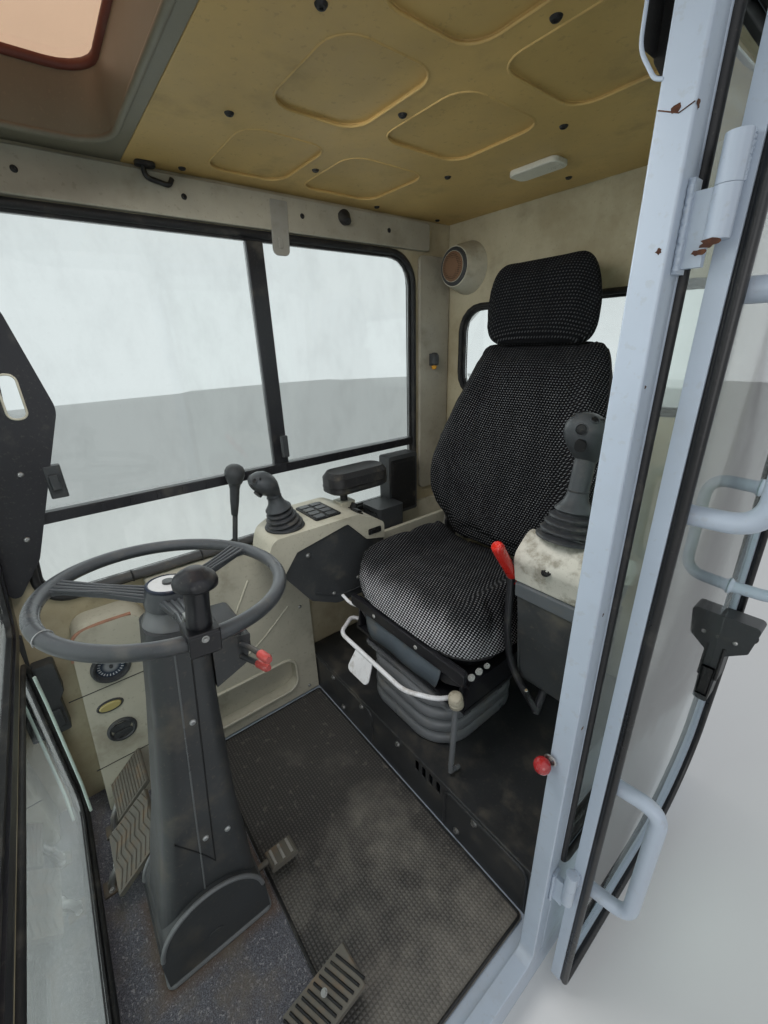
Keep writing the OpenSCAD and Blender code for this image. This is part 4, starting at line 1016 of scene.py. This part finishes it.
piece("wheel_spokes", spokes + [turned(hub, 56)], wheel_plastic, "wheel", 1.2, frame_of=wheel,
      crisp=42)
piece("hub_ring", [turned([(32, 0), (34.4, 1.5), (34.2, 5), (31.5, 6.4), (29.5, 5.2), (29, 1)], 48)],
      coat("blue_black", (0.018, 0.024, 0.040), 0.3, amount=0.2), "wheel", frame_of=wheel,
      crisp=50)
piece("hub_cap", [turned([(30, 2), (29.5, 5), (16, 6), (0, 6.4)], 48)],
      coat("cap_grey", (0.42, 0.42, 0.42), 0.3, bead=2.0, amount=0.3, patch=20.0), "wheel",
      frame_of=wheel, crisp=50)
about = math.radians(-68)
split = [Vector(((rim_radius + 12.4 * math.cos(a)) * math.cos(about),
                 (rim_radius + 12.4 * math.cos(a)) * math.sin(about),
                 12.4 * math.sin(a))) for a in (math.radians(-20 + 11 * k) for k in range(21))]
piece("rim_split", [tube(split, 0.8, 6)], pale_screw, "wheel", frame_of=wheel)
knob = [(0, 101), (8, 100.8), (12, 99.4), (14, 97), (20, 94), (25, 89), (27.5, 83), (27, 77), (23, 74),
        (17, 72.5), (15.5, 70), (15, 44), (15.8, 30), (16, 18)]
piece("spinner_knob", [moved(turned(knob, 48), (168, 0, 0))], black_enamel, "wheel",
      frame_of=wheel, crisp=60)
piece("spinner_clamp", [block(148, -21, 6, 191, 21, 19, 5), block(150, -18, -16, 190, 18, -8, 6),
                        block(186, -20, -14, 192, 20, 16, 2), block(150, -20, -14, 156, 20, 16, 2)],
      black_enamel, "wheel", 2.0, frame_of=wheel, segments=3)
ear = rounded([(-14, -10, 4), (14, -10, 4), (10, 26, 6), (-10, 26, 6)])
piece("spinner_bracket", [plate(ear, 143, 147.5, "x"),
                          block(132, -12, 18, 150, 12, 22, 4), block(132, -12, -4, 136, 12, 22, 1)]
      + bolt((141, 0, 22), (0, 0, 1), 5) + bolt((147.5, 0, 4), (-1, 0, 0), 5)
      + bolt((192, 0, 10), (1, 0, 0), 4),
      zinc, "wheel", 0.8, frame_of=wheel)

# Pedals: ribbed rubber pads on plated steel levers, whose brackets are bolted through the carpet
# to the floor frame.
pad_rubber = coat("pedal_rubber", (0.135, 0.125, 0.105), 0.6, bead=1.2, depth=0.00005, dirt=(0.20, 0.14, 0.09),
                  amount=0.55, patch=35.0, tone=0.7)
dress("front_pedals left_pedal column_tilt_pedal", pad_rubber, 1.8, 3)


def ribs(low, high, x0, x1, count, proud, chevron=0.0):
    """Bars across a sloping pad, from its low edge to its high edge, as (y, z) points in mm."""
    made = []
    low, high = Vector((0, *low)), Vector((0, *high))
    out = Vector((0, -(high - low).z, (high - low).y)).normalized()
    for k in range(count):
        at = low.lerp(high, (k + 0.7) / (count + 0.4)) + out * proud
        bend = (high - low).normalized() * chevron
        made.append(tube([at + Vector((x0, 0, 0)), at + bend + Vector((x0 + (x1 - x0) * 0.25, 0, 0)),
                          at + Vector(((x0 + x1) / 2, 0, 0)), at + bend + Vector((x0 + (x1 - x0) * 0.75, 0, 0)),
                          at + Vector((x1, 0, 0))], 2.6, 8))
    return made


piece("accelerator_ribs", ribs((-684, 173), (-604, 248), -374, -266, 11, 0.2), pad_rubber, "cab")
piece("brake_ribs", ribs((-710, 149), (-614, 234), -250, -111, 8, 0.2, 12.0), pad_rubber, "cab")
piece("tilt_pedal_ribs", [tube([(22, y, 152.4), (56, y, 152.4)], 3.2, 10) for y in (-422, -402, -382)],
      coat("tilt_pedal_ribs", (0.36, 0.35, 0.32), 0.5, amount=0.4, patch=20.0), "cab")
# Black bars in the left pedal's slots: painted shade in the openings.
slots = []
for k in range(10):
    t = (k + 0.8) / 10.6
    y, z = -514 + 134 * t, 110 + 44 * t
    slots.append(tube([(268, y - 9, z - 2.6), (331, y + 13, z + 4.6)], 2.6, 8))
piece("left_pedal_slot_shade", slots, hole_black, "cab")
piece("pedal_levers", [tube([(-180, -690, 156), (-180, -716, 120), (-180, -725, 92)], [9, 8, 9], 14),
                       plate(rect(-712, 92, -668, 146, 8), -190, -184, "x"),
                       tube([(-320, -670, 176), (-320, -694, 130), (-320, -700, 92)], [9, 8, 9], 14)],
      zinc, "cab", 1.0)
piece("pedal_bolts", [part for x, y in ((-190, -726), (-170, -726), (-330, -702), (-310, -702))
                      for part in bolt((x, y, 92.8), (0, 0, 1), 5)]
      + bolt((-183, -690, 130), (1, 0, 0), 7) + bolt((300, -444, 156), (0, -0.3, 1), 5),
      zinc, "cab")

# Seat base: a sheet-metal pedestal, the rubber bellows over the suspension, and the black frame
# with its slide rails, pan, front flap and the damping knob on its stem.
pedestal_paint = coat("pedestal_plastic", (0.030, 0.031, 0.033), 0.40, bead=1.6, depth=0.00006,
                      dirt=(0.095, 0.084, 0.068), amount=0.45, patch=90.0)
dress("seat_pedestal", pedestal_paint, 3.0, 3)
bellows_grey = coat("seat_bellows", (0.150, 0.157, 0.168), 0.30, bead=1.6, depth=0.00004,
                    dirt=(0.15, 0.13, 0.10), amount=0.4, patch=70.0, tone=0.8)
folds = []
for i in range(4):
    foot = 225.4 + 42.4 * i
    folds += [(foot, -4), (foot + 4, 2), (foot + 10, 4), (foot + 24, 3), (foot + 31, 0), (foot + 35, -7),
              (foot + 38, -14), (foot + 42.4, -12)]
verts = []
for z, d in folds:
    corners = ((-182 - d, 8 - d), (152 + d, 8 - d), (152 + d, 350 + d), (-182 - d, 350 + d))
    outline = rounded([(*corner, 104) for corner in corners], 16)
    verts += standing(outline, z, "z")
bag = piece("seat_bag", [skinned(verts, len(outline)), block(-180, 10, 395, 180, 360, 403, 20)],
            bellows_grey, "cab", crisp=66)
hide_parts("seat_bellows")
dress("seat_frame", black_enamel, 1.5, 2)
pan_front = [plate(rounded([(-205, 506, 30), (-150, 470, 40), (150, 470, 40), (212, 500, 30), (212, 545, 10),
                            (-205, 545, 10)]), 12, 20, "y"),
             plate(rounded([(-222, 512, 10), (216, 512, 10), (216, 546, 8), (-222, 546, 8)]), 0, 14, "y"),
             plate(rounded([(10, 440, 6), (60, 440, 6), (60, 500, 6), (10, 500, 6)]), 196, 202, "x"),
             plate(rounded([(10, 440, 6), (60, 440, 6), (60, 500, 6), (10, 500, 6)]), -202, -196, "x")]
piece("pan_front", pan_front, black_enamel, "seat", 2.5, segments=3)
flap_vinyl = coat("flap_vinyl", (0.085, 0.105, 0.125), 0.5, bead=2.5, depth=0.00010, dirt=(0.16, 0.14, 0.11),
                  amount=0.4, patch=50.0)
hang = []
for row in range(9):
    for k in range(25):
        x, z = -160 + 300 * k / 24, 508 - 74 * row / 8
        x *= 1 - 0.16 * (row / 8) ** 2
        slack = 9 * math.sin(math.pi * row / 8) * (1 - 0.4 * (x / 160) ** 2)
        hang.append(Vector((x, 9 - slack + 2.0 * math.sin(x / 26.0 + row * 0.5), z)))
strips = [(r * 25 + k, r * 25 + k + 1, (r + 1) * 25 + k + 1, (r + 1) * 25 + k)
          for r in range(8) for k in range(24)]
flap = piece("seat_flap", [(hang, strips)], flap_vinyl, "seat", crisp=70)
thick = flap.modifiers.new("sheet", "SOLIDIFY")
thick.thickness = 0.0018
chrome = coat("chrome", (0.72, 0.72, 0.72), 0.16, bead=1.0, depth=0.00001, amount=0.3, patch=12.0, Metallic=1.0)
bright_steel = coat("bright_steel", (0.46, 0.46, 0.44), 0.25, bead=1.0, depth=0.00001, amount=0.3, patch=12.0,
                    Metallic=0.35)
piece("pan_bolts", [screw((-110, 0, 528), (0, -1, 0), 6), screw((60, 0, 528), (0, -1, 0), 6)]
      + [part for y, z, radius in ((26, 528, 7), (52, 530, 7), (80, 530, 6))
         for part in bolt((216, y, z), (1, -0.5, 0.2), radius)],
      bright_steel, "seat")
piece("damping_stem", [tube([(198, -10, 240), (206, -10, 462)], 7, 16),
                       tube([(198, -10, 240), (198, 20, 232)], 6, 12)], bellows_grey, "seat")
knob = turned([(0, 24), (12, 23), (16, 19), (17, 9), (14, 6), (13, 3), (17, 0), (17, -9), (13, -13), (0, -14)],
              28)
knob_beige = coat("knob_beige", (0.42, 0.38, 0.30), 0.45, amount=0.5, patch=12.0)
piece("damping_knob", [moved(knob, (206, -10, 472), (0, -0.2, 1))],
      knob_beige, "seat", crisp=50)
piece("pedestal_bolts", [s for x in (-300, -140, 30, 300) for s in bolt((x, -40, 200), (0, -1, 0), 7)]
      + [s for x in (-250, 250) for s in bolt((x, -40, 110), (0, -1, 0), 7)], zinc, "cab")
piece("pedestal_ribs",
      [tube(smooth_path(standing([(x0, 98), (x0, 216), (x1, 216), (x1, 98)], -41, "y"), 24), 4, 10)
       for x0, x1 in ((-440, -90), (210, 440))], pedestal_paint, "cab")
white_paint = coat("white_paint", (0.80, 0.80, 0.82), 0.30, bead=2.5, depth=0.00003, dirt=(0.30, 0.26, 0.20),
                   amount=0.4, patch=25.0, chipped=0.10, under=(0.06, 0.05, 0.045), Coat_Weight=0.2)
bar = [(-170, 70, 418), (-244, 14, 450), (-184, -66, 462), (92, -68, 456), (152, -14, 440), (172, 60, 420),
       (173, 94, 415)]
paddle = rounded([(-46, -58, 14), (48, -58, 14), (38, 6, 5), (-34, 6, 5)])
bar = piece("adjust_bar", [tube(smooth_path(bar, 26, 8), 6, 20),
                           moved(plate(paddle, -3, 3, "y"), (-66, -70, 452), (0, 0.5, 1))],
            white_paint, "seat", 1.5, segments=3)
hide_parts("seat_adjust_bar")
piece("height_handle", [tube(smooth_path([(-196, 16, 506), (-236, 4, 506), (-284, -4, 530)], 12), 5, 14)],
      white_paint, "seat")
side_plate = rounded([(412, 560, 14), (478, 560, 14), (470, 690, 26), (424, 690, 26)])
piece("recliner_plates", [plate(side_plate, x, x + 3, "x") for x in (247.2, -250.2)]
      + bolt((250.3, 445, 644), (1, 0, 0), 11) + bolt((-250.3, 445, 644), (-1, 0, 0), 11),
      grey_steel, "seat", 1.0)

# Seat cushion, backrest and headrest: foam in a black cover woven with pale dots. The covers
# are filled as cloth, so they crown between their edges, and then creased where people sit.
seat_cloth, tree, shader = finish("seat_cloth", (0.02, 0.02, 0.022), 0.95, Specular_IOR_Level=0.2)
where = place(tree)
x, y, z = axes(tree, where)
across = maths(tree, "MULTIPLY_ADD", maths(tree, "SUBTRACT", y, z), 0.5, x)
down = maths(tree, "ADD", y, z)
wander = speckle(tree, where, 9.0, 2.0)
across = maths(tree, "MULTIPLY_ADD", wander, 0.006, across)
u = maths(tree, "SUBTRACT", maths(tree, "FRACT", maths(tree, "MULTIPLY", across, 116.0)), 0.5)
v = maths(tree, "SUBTRACT", maths(tree, "FRACT", maths(tree, "MULTIPLY", down, 134.0)), 0.5)
far = maths(tree, "SQRT", maths(tree, "ADD", maths(tree, "MULTIPLY", u, u), maths(tree, "MULTIPLY", v, v)))
# The dots are drawn larger and brighter on the cushion's low front face and dimmed from 1.0 m to 1.3 m up:
# painted light on the front and painted shade higher up.
front = maths(tree, "MULTIPLY", fade(tree, y, 0.34, 0.02), fade(tree, z, 0.66, 0.58))
wide = maths(tree, "MULTIPLY_ADD", front, 0.12, 0.21)
dot = fade(tree, far, maths(tree, "ADD", wide, 0.09), maths(tree, "SUBTRACT", wide, 0.06))
waves = add(tree, "ShaderNodeMapping", Vector=where)
waves.inputs["Scale"].default_value = (1.0, 1.0, 0.28)
moire = fade(tree, speckle(tree, waves.outputs["Vector"], 30.0, 1.0), 0.34, 0.66)
painted_light_dots = maths(tree, "MULTIPLY", dot, maths(tree, "MULTIPLY_ADD", moire, 0.25, 0.52))
painted_light_dots = maths(tree, "MULTIPLY", painted_light_dots, maths(tree, "MULTIPLY_ADD", front, 1.8, 0.45), clamp=True)
painted_light_dots = maths(tree, "MULTIPLY", painted_light_dots, maths(tree, "MULTIPLY_ADD", fade(tree, z, 1.0, 1.3), -0.7, 1.0))
cloth_colour = mixed(tree, painted_light_dots, (0.0045, 0.0045, 0.0055), (0.46, 0.46, 0.48))
lint = use(tree, grime, Clean=cloth_colour, Dirt=(0.05, 0.048, 0.045), Amount=0.10, Size=60.0)
skin(tree, shader, lint["Colour"], maths(tree, "MULTIPLY_ADD", dot, -0.12, 0.95), dot, 0.0010, 0.7)
seam_black = coat("piping", (0.012, 0.012, 0.013), 0.6, bead=1.0, amount=0.2)


def loft(rows, power=2.6, count=56):
    """A stuffed form from rows of (height, middle, half width, half depth, taper, front)."""
    verts = []
    for z, (cx, cy), width, depth, taper, forward in rows:
        for k in range(count):
            a = math.tau * k / count
            c, s = math.cos(a), math.sin(a)
            x = math.copysign(abs(c) ** (2 / power), c)
            y = math.copysign(abs(s) ** (2 / power), s)
            reach = width * (1 - taper * (y + 1) / 2)
            bolster = forward * max(0.0, min(1.0, (abs(x) - 0.5) / 0.4)) ** 2 * (y < 0) * abs(y)
            verts.append(Vector((cx + reach * x, cy + depth * y - bolster, z)))
    return skinned(verts, count)


def settle(pad):
    """Applies a pad's modifiers to its mesh."""
    evaluated = pad.evaluated_get(bpy.context.evaluated_depsgraph_get())
    made = bpy.data.meshes.new_from_object(evaluated)
    pad.modifiers.clear()
    pad.data = made


def stuff(name, shape, unit, voxel, limit, held, body, smoothing=6):
    """Fills a cover: even mesh, blown up as cloth with each point held near the pattern."""
    pad = piece(name, [shape], seat_cloth, body, frame_of=unit, crisp=180)
    pad.modifiers.new("even", "REMESH").voxel_size = voxel / 1000
    calm = pad.modifiers.new("calm", "SMOOTH")
    calm.iterations = smoothing
    settle(pad)
    start = [v.co.copy() for v in pad.data.vertices]
    back_to = unit.inverted()
    fixed = pad.vertex_groups.new(name="held")
    fixed.add([i for i, co in enumerate(start) if held(back_to @ co * 1000)], 1.0, "REPLACE")
    filling = pad.modifiers.new("filling", "CLOTH")
    rules = filling.settings
    rules.quality = 4
    rules.tension_stiffness = rules.compression_stiffness = 18
    rules.bending_stiffness = 0.6
    rules.use_pressure = True
    rules.uniform_pressure_force = 4
    rules.effector_weights.gravity = 0
    rules.vertex_group_mass = "held"
    for step in range(1, 21):
        bpy.context.scene.frame_set(step)
    settle(pad)
    bpy.context.scene.frame_set(1)
    for vertex, before in zip(pad.data.vertices, start):
        move = vertex.co - before
        if move.length > limit / 1000:
            vertex.co = before + move.normalized() * limit / 1000
    calm = pad.modifiers.new("calm", "SMOOTH")
    calm.iterations = 2
    finer = pad.modifiers.new("finer", "SUBSURF")
    finer.levels = finer.render_levels = 1
    settle(pad)
    for face in pad.data.polygons:
        face.use_smooth = True
    return pad


def press(pad, unit, lines):
    """Pushes folds into a pad: each line of points in mm with its width and depth."""
    pad.data.update()
    shifts = {}
    for points, width, depth in lines:
        points = [unit @ (Vector(p) / 1000) for p in points]
        reach = 2.6 * width / 1000
        low = Vector((min(p[i] for p in points) - reach for i in range(3)))
        high = Vector((max(p[i] for p in points) + reach for i in range(3)))
        for vertex in pad.data.vertices:
            co = vertex.co
            if any(co[i] < low[i] or co[i] > high[i] for i in range(3)):
                continue
            near = 1.0
            for a, b in zip(points, points[1:]):
                along = max(0.0, min(1.0, (co - a).dot(b - a) / (b - a).length_squared))
                near = min(near, (co - a.lerp(b, along)).length)
            fall = math.exp(-(near * 1000 / width) ** 2) * depth / 1000
            shifts[vertex.index] = shifts.get(vertex.index, Vector()) - vertex.normal * fall
    for index, shift in shifts.items():
        pad.data.vertices[index].co += shift
    pad.data.update()


def lay_on(pad, unit, points, proud):
    """Points in mm brought to the surface of a pad, as a path for its piping."""
    tree_of = BVHTree.FromPolygons([v.co for v in pad.data.vertices],
                                   [tuple(f.vertices) for f in pad.data.polygons])
    home = unit.inverted()
    made = []
    for point in points:
        spot, way, _, _ = tree_of.find_nearest(unit @ (Vector(point) / 1000))
        made.append(home @ (spot + way * proud / 1000) * 1000)
    return made


flat_seat = Matrix.Identity(4)
rows = []
for z, inset in ((546, 14), (551, 4), (562, -3), (580, -3), (590, 6), (597, 24), (599, 60)):
    rows.append((z, (-13, 236), 246 - inset, 236 - inset, 0.0, 0.0))
cushion = stuff("cushion", loft(rows, 4.6, 72), flat_seat, 6.0, 22, lambda p: p.z < 549, "seat", 3)
for vertex in cushion.data.vertices:
    x, y, z = (c * 1000 for c in vertex.co)
    rise = max(0.0, min(1.0, (z - 552) / 40))
    side = max(0.0, min(1.0, (abs(x + 12) - 110) / 90))
    along = max(0.0, min(1.0, (y + 6) / 80)) * max(0.0, min(1.0, (425 - y) / 90))
    side, along = side * side * (3 - 2 * side), along * along * (3 - 2 * along)
    dip = 6 * math.exp(-((x + 10) / 120) ** 2 - ((y - 300) / 110) ** 2)
    vertex.co.z += rise * (along * (20 + 54 * side) - dip) / 1000
    vertex.co.x = max(-0.262, min(0.238, vertex.co.x))
top = 612
press(cushion, flat_seat, [
    ([(-196, 322, top), (-168, 338, top), (-146, 357, top), (-140, 392, top), (-150, 440, top)], 9, 8.0),
    ([(-162, 276, top), (-120, 290, top), (-85, 313, top), (-78, 380, top), (-77, 450, top)], 10, 9.0),
    ([(-50, 300, top), (-40, 340, top), (-47, 415, top)], 9, 7.0),
    ([(-236, 190, top + 34), (-205, 225, top + 30), (-165, 250, top + 14), (-100, 248, top), (-30, 258, top),
      (30, 300, top)], 15, 8.0),
    ([(20, 300, top), (60, 330, top), (120, 345, top)], 10, 2.5)])
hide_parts("seat_cushion")
skirt = standing(rect(-248, 8, 224, 462, 80), 548, "z")
piece("cushion_piping", [tube(lay_on(cushion, flat_seat, skirt, 0.6), 3.0, 10, closed=True)],
      seam_black, "seat")
tray = []
for z, inset in ((504.3, 40), (508, 30), (526, 20), (544, 14), (547, 18)):
    tray.append((z, (-10, 238), 236 - inset, 230 - inset, 0.0, 0.0))
piece("cushion_tray", [loft(tray, 5.0, 72)], black_enamel, "seat", crisp=50)

lying_back = Matrix.Translation((0, 0.400, 0.624)) @ Matrix.Rotation(-math.radians(9), 4, "X")


def between(value, table):
    """A value read off between the pairs of a table."""
    for (a, x), (b, y) in zip(table, table[1:]):
        if value <= b:
            t = max(0.0, (value - a) / (b - a))
            return x + (y - x) * t
    return table[-1][1]


half_width = [(-14, 196), (0, 206), (40, 230), (90, 247), (150, 256), (230, 257), (330, 249), (440, 232),
              (540, 208), (590, 190), (612, 176)]
wing = [(0, 0), (40, 16), (90, 48), (150, 80), (210, 92), (260, 90), (400, 58), (500, 30), (570, 8), (612, 0)]


def across_back(z):
    """Outline of the backrest at a height, its wings standing forward of the middle."""
    w, f = between(z, half_width), between(z, wing)
    half = [(0.0, 2), (0.28, 3), (0.48, 5 - 0.05 * f), (0.64, 6 - 0.30 * f), (0.78, 6 - 0.76 * f),
            (0.88, 6 - 0.98 * f), (0.96, 11 - 1.0 * f), (1.0, 22 - 0.90 * f), (0.97, 32 - 0.55 * f),
            (0.90, 40 - 0.2 * f), (0.80, 56), (0.72, 72), (0.60, 84), (0.35, 87)]
    line = [(w * x, y) for x, y in half] + [(0.0, 88)] + [(-w * x, y) for x, y in reversed(half[1:])]
    count, fine = len(line), []
    for k in range(count):
        p = [Vector(line[(k + d) % count]) for d in (-1, 0, 1, 2)]
        for t in (0.0, 0.33, 0.67):
            fine.append(0.5 * (2 * p[1] + (p[2] - p[0]) * t + (2 * p[0] - 5 * p[1] + 4 * p[2] - p[3]) * t * t
                               + (3 * p[1] - p[0] - 3 * p[2] + p[3]) * t ** 3))
    return fine


heights = [-14, -8, 4, 22, 40] + list(range(60, 561, 20)) + [578, 594, 606, 612]
squeeze = {-14: 0.88, -8: 0.95, 606: 0.97, 612: 0.91}
verts = []
for z in heights:
    drawn = squeeze.get(z, 1.0)
    verts += [Vector((p.x * drawn, 44 + (p.y - 44) * drawn ** 3, z)) for p in across_back(z)]
backrest = stuff("back_cushion", skinned(verts, len(verts) // len(heights)), lying_back, 7.0, 16,
                 lambda p: p.y > 60, "backrest", 3)
for vertex in backrest.data.vertices:
    vertex.co.x = max(-0.257, min(0.256, vertex.co.x))
press(backrest, lying_back, [
    ([(-190, -4, 130), (-110, 0, 118), (0, 0, 112), (110, 0, 118), (190, -4, 130)], 12, 3.0),
    ([(-150, 0, 40), (0, 0, 34), (150, 0, 40)], 10, 3.0),
    ([(-172, -4, 90), (-160, 0, 200), (-150, 0, 330), (-140, 0, 440)], 12, 2.0),
    ([(172, -4, 90), (160, 0, 200), (150, 0, 330), (140, 0, 440)], 12, 2.0)])
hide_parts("backrest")
edge = [(-between(z, half_width), 24 - 0.9 * between(z, wing), z) for z in range(10, 595, 12)]
edge += [(x, 30, 602) for x in range(-144, 145, 16)]
edge += [(between(z, half_width), 24 - 0.9 * between(z, wing), z) for z in range(590, 8, -12)]
edge += [(x, 30, 2) for x in range(180, -181, -20)]
piece("back_piping", [tube(lay_on(backrest, lying_back, edge, 0.4), 2.6, 10, closed=True)],
      seam_black, "backrest", frame_of=lying_back)
shell_rows = [(z, (0, 79), between(z, half_width) * (0.60 if z in (30, 570) else 0.66), 8.5, 0.10, 0.0)
              for z in (30, 60, 120, 200, 300, 400, 500, 550, 570)]
piece("back_shell", [loft(shell_rows, 3.0, 56)], pedestal_paint, "backrest",
      frame_of=lying_back, crisp=50)

head_rows = ((598, 128, 26), (602, 142, 31), (610, 157, 36), (624, 169, 39), (644, 176, 40), (690, 178, 40),
             (735, 171, 39), (764, 161, 37), (784, 148, 33), (796, 132, 28), (802, 112, 20))
rows = [(z, (-9, 22 - 0.17 * (z - 606)), wide, deep, 0.24, 0.0) for z, wide, deep in head_rows]
headrest = stuff("head_pad", loft(rows, 3.6, 64), lying_back, 6.0, 6, lambda p: p.z < 618 or p.y > 40,
                 "backrest", 5)
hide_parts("headrest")
edge = [(p.x, 34 - 15.3 * (p.y - 702) / 92, p.y) for p in oval(-9, 702, 150, 92, 72)]
piece("head_piping", [tube(lay_on(headrest, lying_back, edge, 0.4), 2.4, 10, closed=True)],
      seam_black, "backrest", frame_of=lying_back)
piece("head_posts", [tube([(x, 40, 560), (x, 34, 640)], 6, 14) for x in (-70, 60)],
      chrome, "backrest", frame_of=lying_back)

# Left console: a beige cover over a dark box, swung up on its arm so that a person can get in.
# The joystick stands on top; a black lever with a red grip beside it locks the controls.
raised = (Matrix.Translation((0, 0.330, 0.600)) @ Matrix.Rotation(-math.radians(25), 4, "X")
          @ Matrix.Translation((0, -0.330, -0.600)))
left_side = raised @ Matrix.Translation((0, 0.220, 0))
worn_beige = coat("worn_beige", (0.60, 0.58, 0.51), 0.5, bead=1.8, depth=0.00010, dirt=(0.20, 0.18, 0.14),
                  amount=0.62, patch=34.0, tone=0.8)
dress("left_console_cover", worn_beige, 13.0, 5)
dress("left_console_box", cover_plastic, 12.0, 4)
lip = [(-183, 652, 3), (-166, 624, 3), (-118, 684, 8), (56, 684, 4), (56, 713, 1), (-134, 713, 4)]
band_grey = coat("band_grey", (0.105, 0.115, 0.125), 0.4, bead=1.2, amount=0.35, patch=50.0)
piece("cover_band", [plate(rounded(lip), 264.6, 399.4, "x")], band_grey, "left_console", 5.0,
      frame_of=left_side, segments=4)
front_at, front_way = (332, -214, 700), (0, -0.92, 0.38)
cup = turned([(7, -1), (9, 0.6), (9.6, 1.6), (8.2, 2.2), (7, 1)], 24)
piece("cover_screw", [screw(front_at, front_way, 7), moved(cup, front_at, front_way)],
      hole_black, "left_console", frame_of=left_side)
piece("box_beads", [tube(smooth_path([(266, -112, 560), (266, -30, 436), (266, 36, 436)], 30), 2.4, 8)],
      cover_plastic, "left_console", frame_of=left_side)
joystick("left", left_side @ Matrix.Translation((0.328, -0.170, 0.7683)), 16, 112, "left_console", 1.14, 1.12)
lever_line = [(248, 43, 666), (248, 102, 538), (254, 168, 447), (318, 222, 372)]
lever = piece("locking_lever", [tube(smooth_path(lever_line, 60, 12), 8, 22),
                                moved(turned([(0, 0), (9, 0), (9, 60), (0, 60)], 24), (318, 226, 364))],
              black_enamel, "left_console", frame_of=raised, crisp=60)
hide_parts("safety_lever")
red_grip = coat("red_grip", (0.62, 0.022, 0.014), 0.26, bead=2.5, depth=0.00003, dirt=(0.25, 0.05, 0.04),
                amount=0.3, patch=20.0, Coat_Weight=0.5)
grip_way = Vector((0, -96, 55)).normalized()
grip = turned([(0, 0), (11, 0), (12, 3), (12.6, 60), (12.9, 96), (12.2, 104), (9.5, 109), (8, 110), (7, 108.5),
               (0, 108.5)], 32)
button = turned([(8.5, 0), (10.5, 2), (8.5, 5)], 24)
piece("lever_grip", [moved(grip, (248, 46, 664), grip_way), moved(button, (248, 55, 652), (0, 0.4, -0.9))],
      red_grip, "left_console", frame_of=raised, crisp=60)
piece("lever_link", [tube([(300, 212, 384), (312, 150, 428)], 4, 12)],
      chrome, "left_console", 1.0, frame_of=raised)

# Door: a painted frame that holds a large pane, laid back along the cab on two lift-off hinges.
# A black bulb seal runs round its inner face; three tube handles and a latch block are on it.
dress("door_frame", cab_paint, 3.0, 3)
dress("door_hinges", cab_paint, 1.2, 3)
dress("door_glass", green_glass, 0)
bulb_line = rounded([(-51.5, 36.5, 10), (566, 36.5, 244), (569.5, 640, 94), (471, 1573.5, 55),
                     (-51.5, 1573.5, 10)], 14)
bulb_gloss = coat("bulb_rubber", (0.008, 0.008, 0.009), 0.30, bead=0.9, depth=0.00004,
                  dirt=(0.09, 0.085, 0.075), amount=0.3, patch=50.0)
bulb = piece("bulb_seal", [hoop(bulb_line, 549, "x", 6.2, 16), hoop(bulb_line, 545, "x", 4.6, 10)],
             bulb_gloss, "door", crisp=60)
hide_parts("door_seal")
tubes = []
for z0, z1, reach, y, face in ((328, 590, 66, -32, 542), (1040, 1265, 74, -32, 542), (750, 960, 82, 430, 536)):
    line = [(face + 3, y, z0), (542 + reach, y + 8, z0), (542 + reach, y + 8, z1), (face + 3, y, z1)]
    tubes.append(tube(smooth_path(line, 62, 12), 11.8, 28))
    tubes += [moved(turned([(0, 0.3), (16, 0.3), (16.5, 2), (13, 5), (12, 8)], 32), (face, y, z), (1, 0, 0))
              for z in (z0, z1)]
handles = piece("grab_tubes", tubes, cab_paint, "door", crisp=50)
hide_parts("door_grab_handles")
dress("door_latch", dark_plastic, 5.0, 4)
latch_at = (585, 524, 600)
piece("latch_button", [moved(turned([(0, 6), (8, 6), (9.5, 4), (10, -2)], 28), latch_at, (0, -1, 0)),
                       moved(turned([(10, -1), (14, 0), (14, 3), (11, 4)], 28), latch_at, (0, -1, 0)),
                       block(548, 498, 470, 556, 549, 560, 4), block(520, 497.5, 420, 548, 500, 500, 6)],
      hole_black, "door", 1.2, segments=3)
piece("latch_screws", [screw((530, 500, 455), (0, -1, 0), 5), screw((530, 500, 585), (0, -1, 0), 5),
                       screw((566, 500, 585), (0, -1, 0), 5)], zinc, "door")
random.seed(11)


def weld_line(x, y, z0, z1):
    """Middle line of a hand-laid weld, going up."""
    return [Vector((x + random.uniform(-0.5, 0.5), y, z0 + (z1 - z0) * k / 26)) for k in range(27)]


beads = []
for foot in (305, 1305):
    for x, y, low, high, wide, wave in ((503, -78.2, -22, 48, 2.6, 0.7), (535, -60, 42, 75, 2.2, 0.6)):
        wobble = [wide + wave * math.sin(k * 2.2) for k in range(27)]
        beads.append(tube(weld_line(x, y, foot + low, foot + high), wobble, 10))
piece("hinge_welds", beads[0::2], cab_paint, "cab")
piece("door_welds", beads[1::2], cab_paint, "door")
piece("hinge_rust", [flake((527, -81, 1302), (1, 0, 0), (0, 0, 0.4), 9, 5),
                     flake((520, -81, 1296), (1, 0, 0), (0, 0, 0.5), 6, 6)],
      rust, "cab")

# Red ball knob of the door's inside release: a moulded plastic ball on a short plated stem that
# goes into the post.
piece("release_stem", [tube([(470, -96, 626), (470, -76, 614)], 4, 14),
                       moved(turned([(4, 0), (9, 0), (10, 2), (8, 3)], 24), (473, -98, 628), (0, -1, 0))],
      zinc, "cab")
ball = [(13.5 * math.sin(math.pi * k / 14), -13.5 * math.cos(math.pi * k / 14)) for k in range(15)]
piece("release_knob", [moved(turned(ball, 32), (466, -108, 616), (0, -1, 0))],
      coat("ball_red", (0.36, 0.018, 0.020), 0.25, bead=1.5, depth=0.00003, amount=0.25, patch=18.0,
           Coat_Weight=0.6), "cab", crisp=60)

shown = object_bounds()
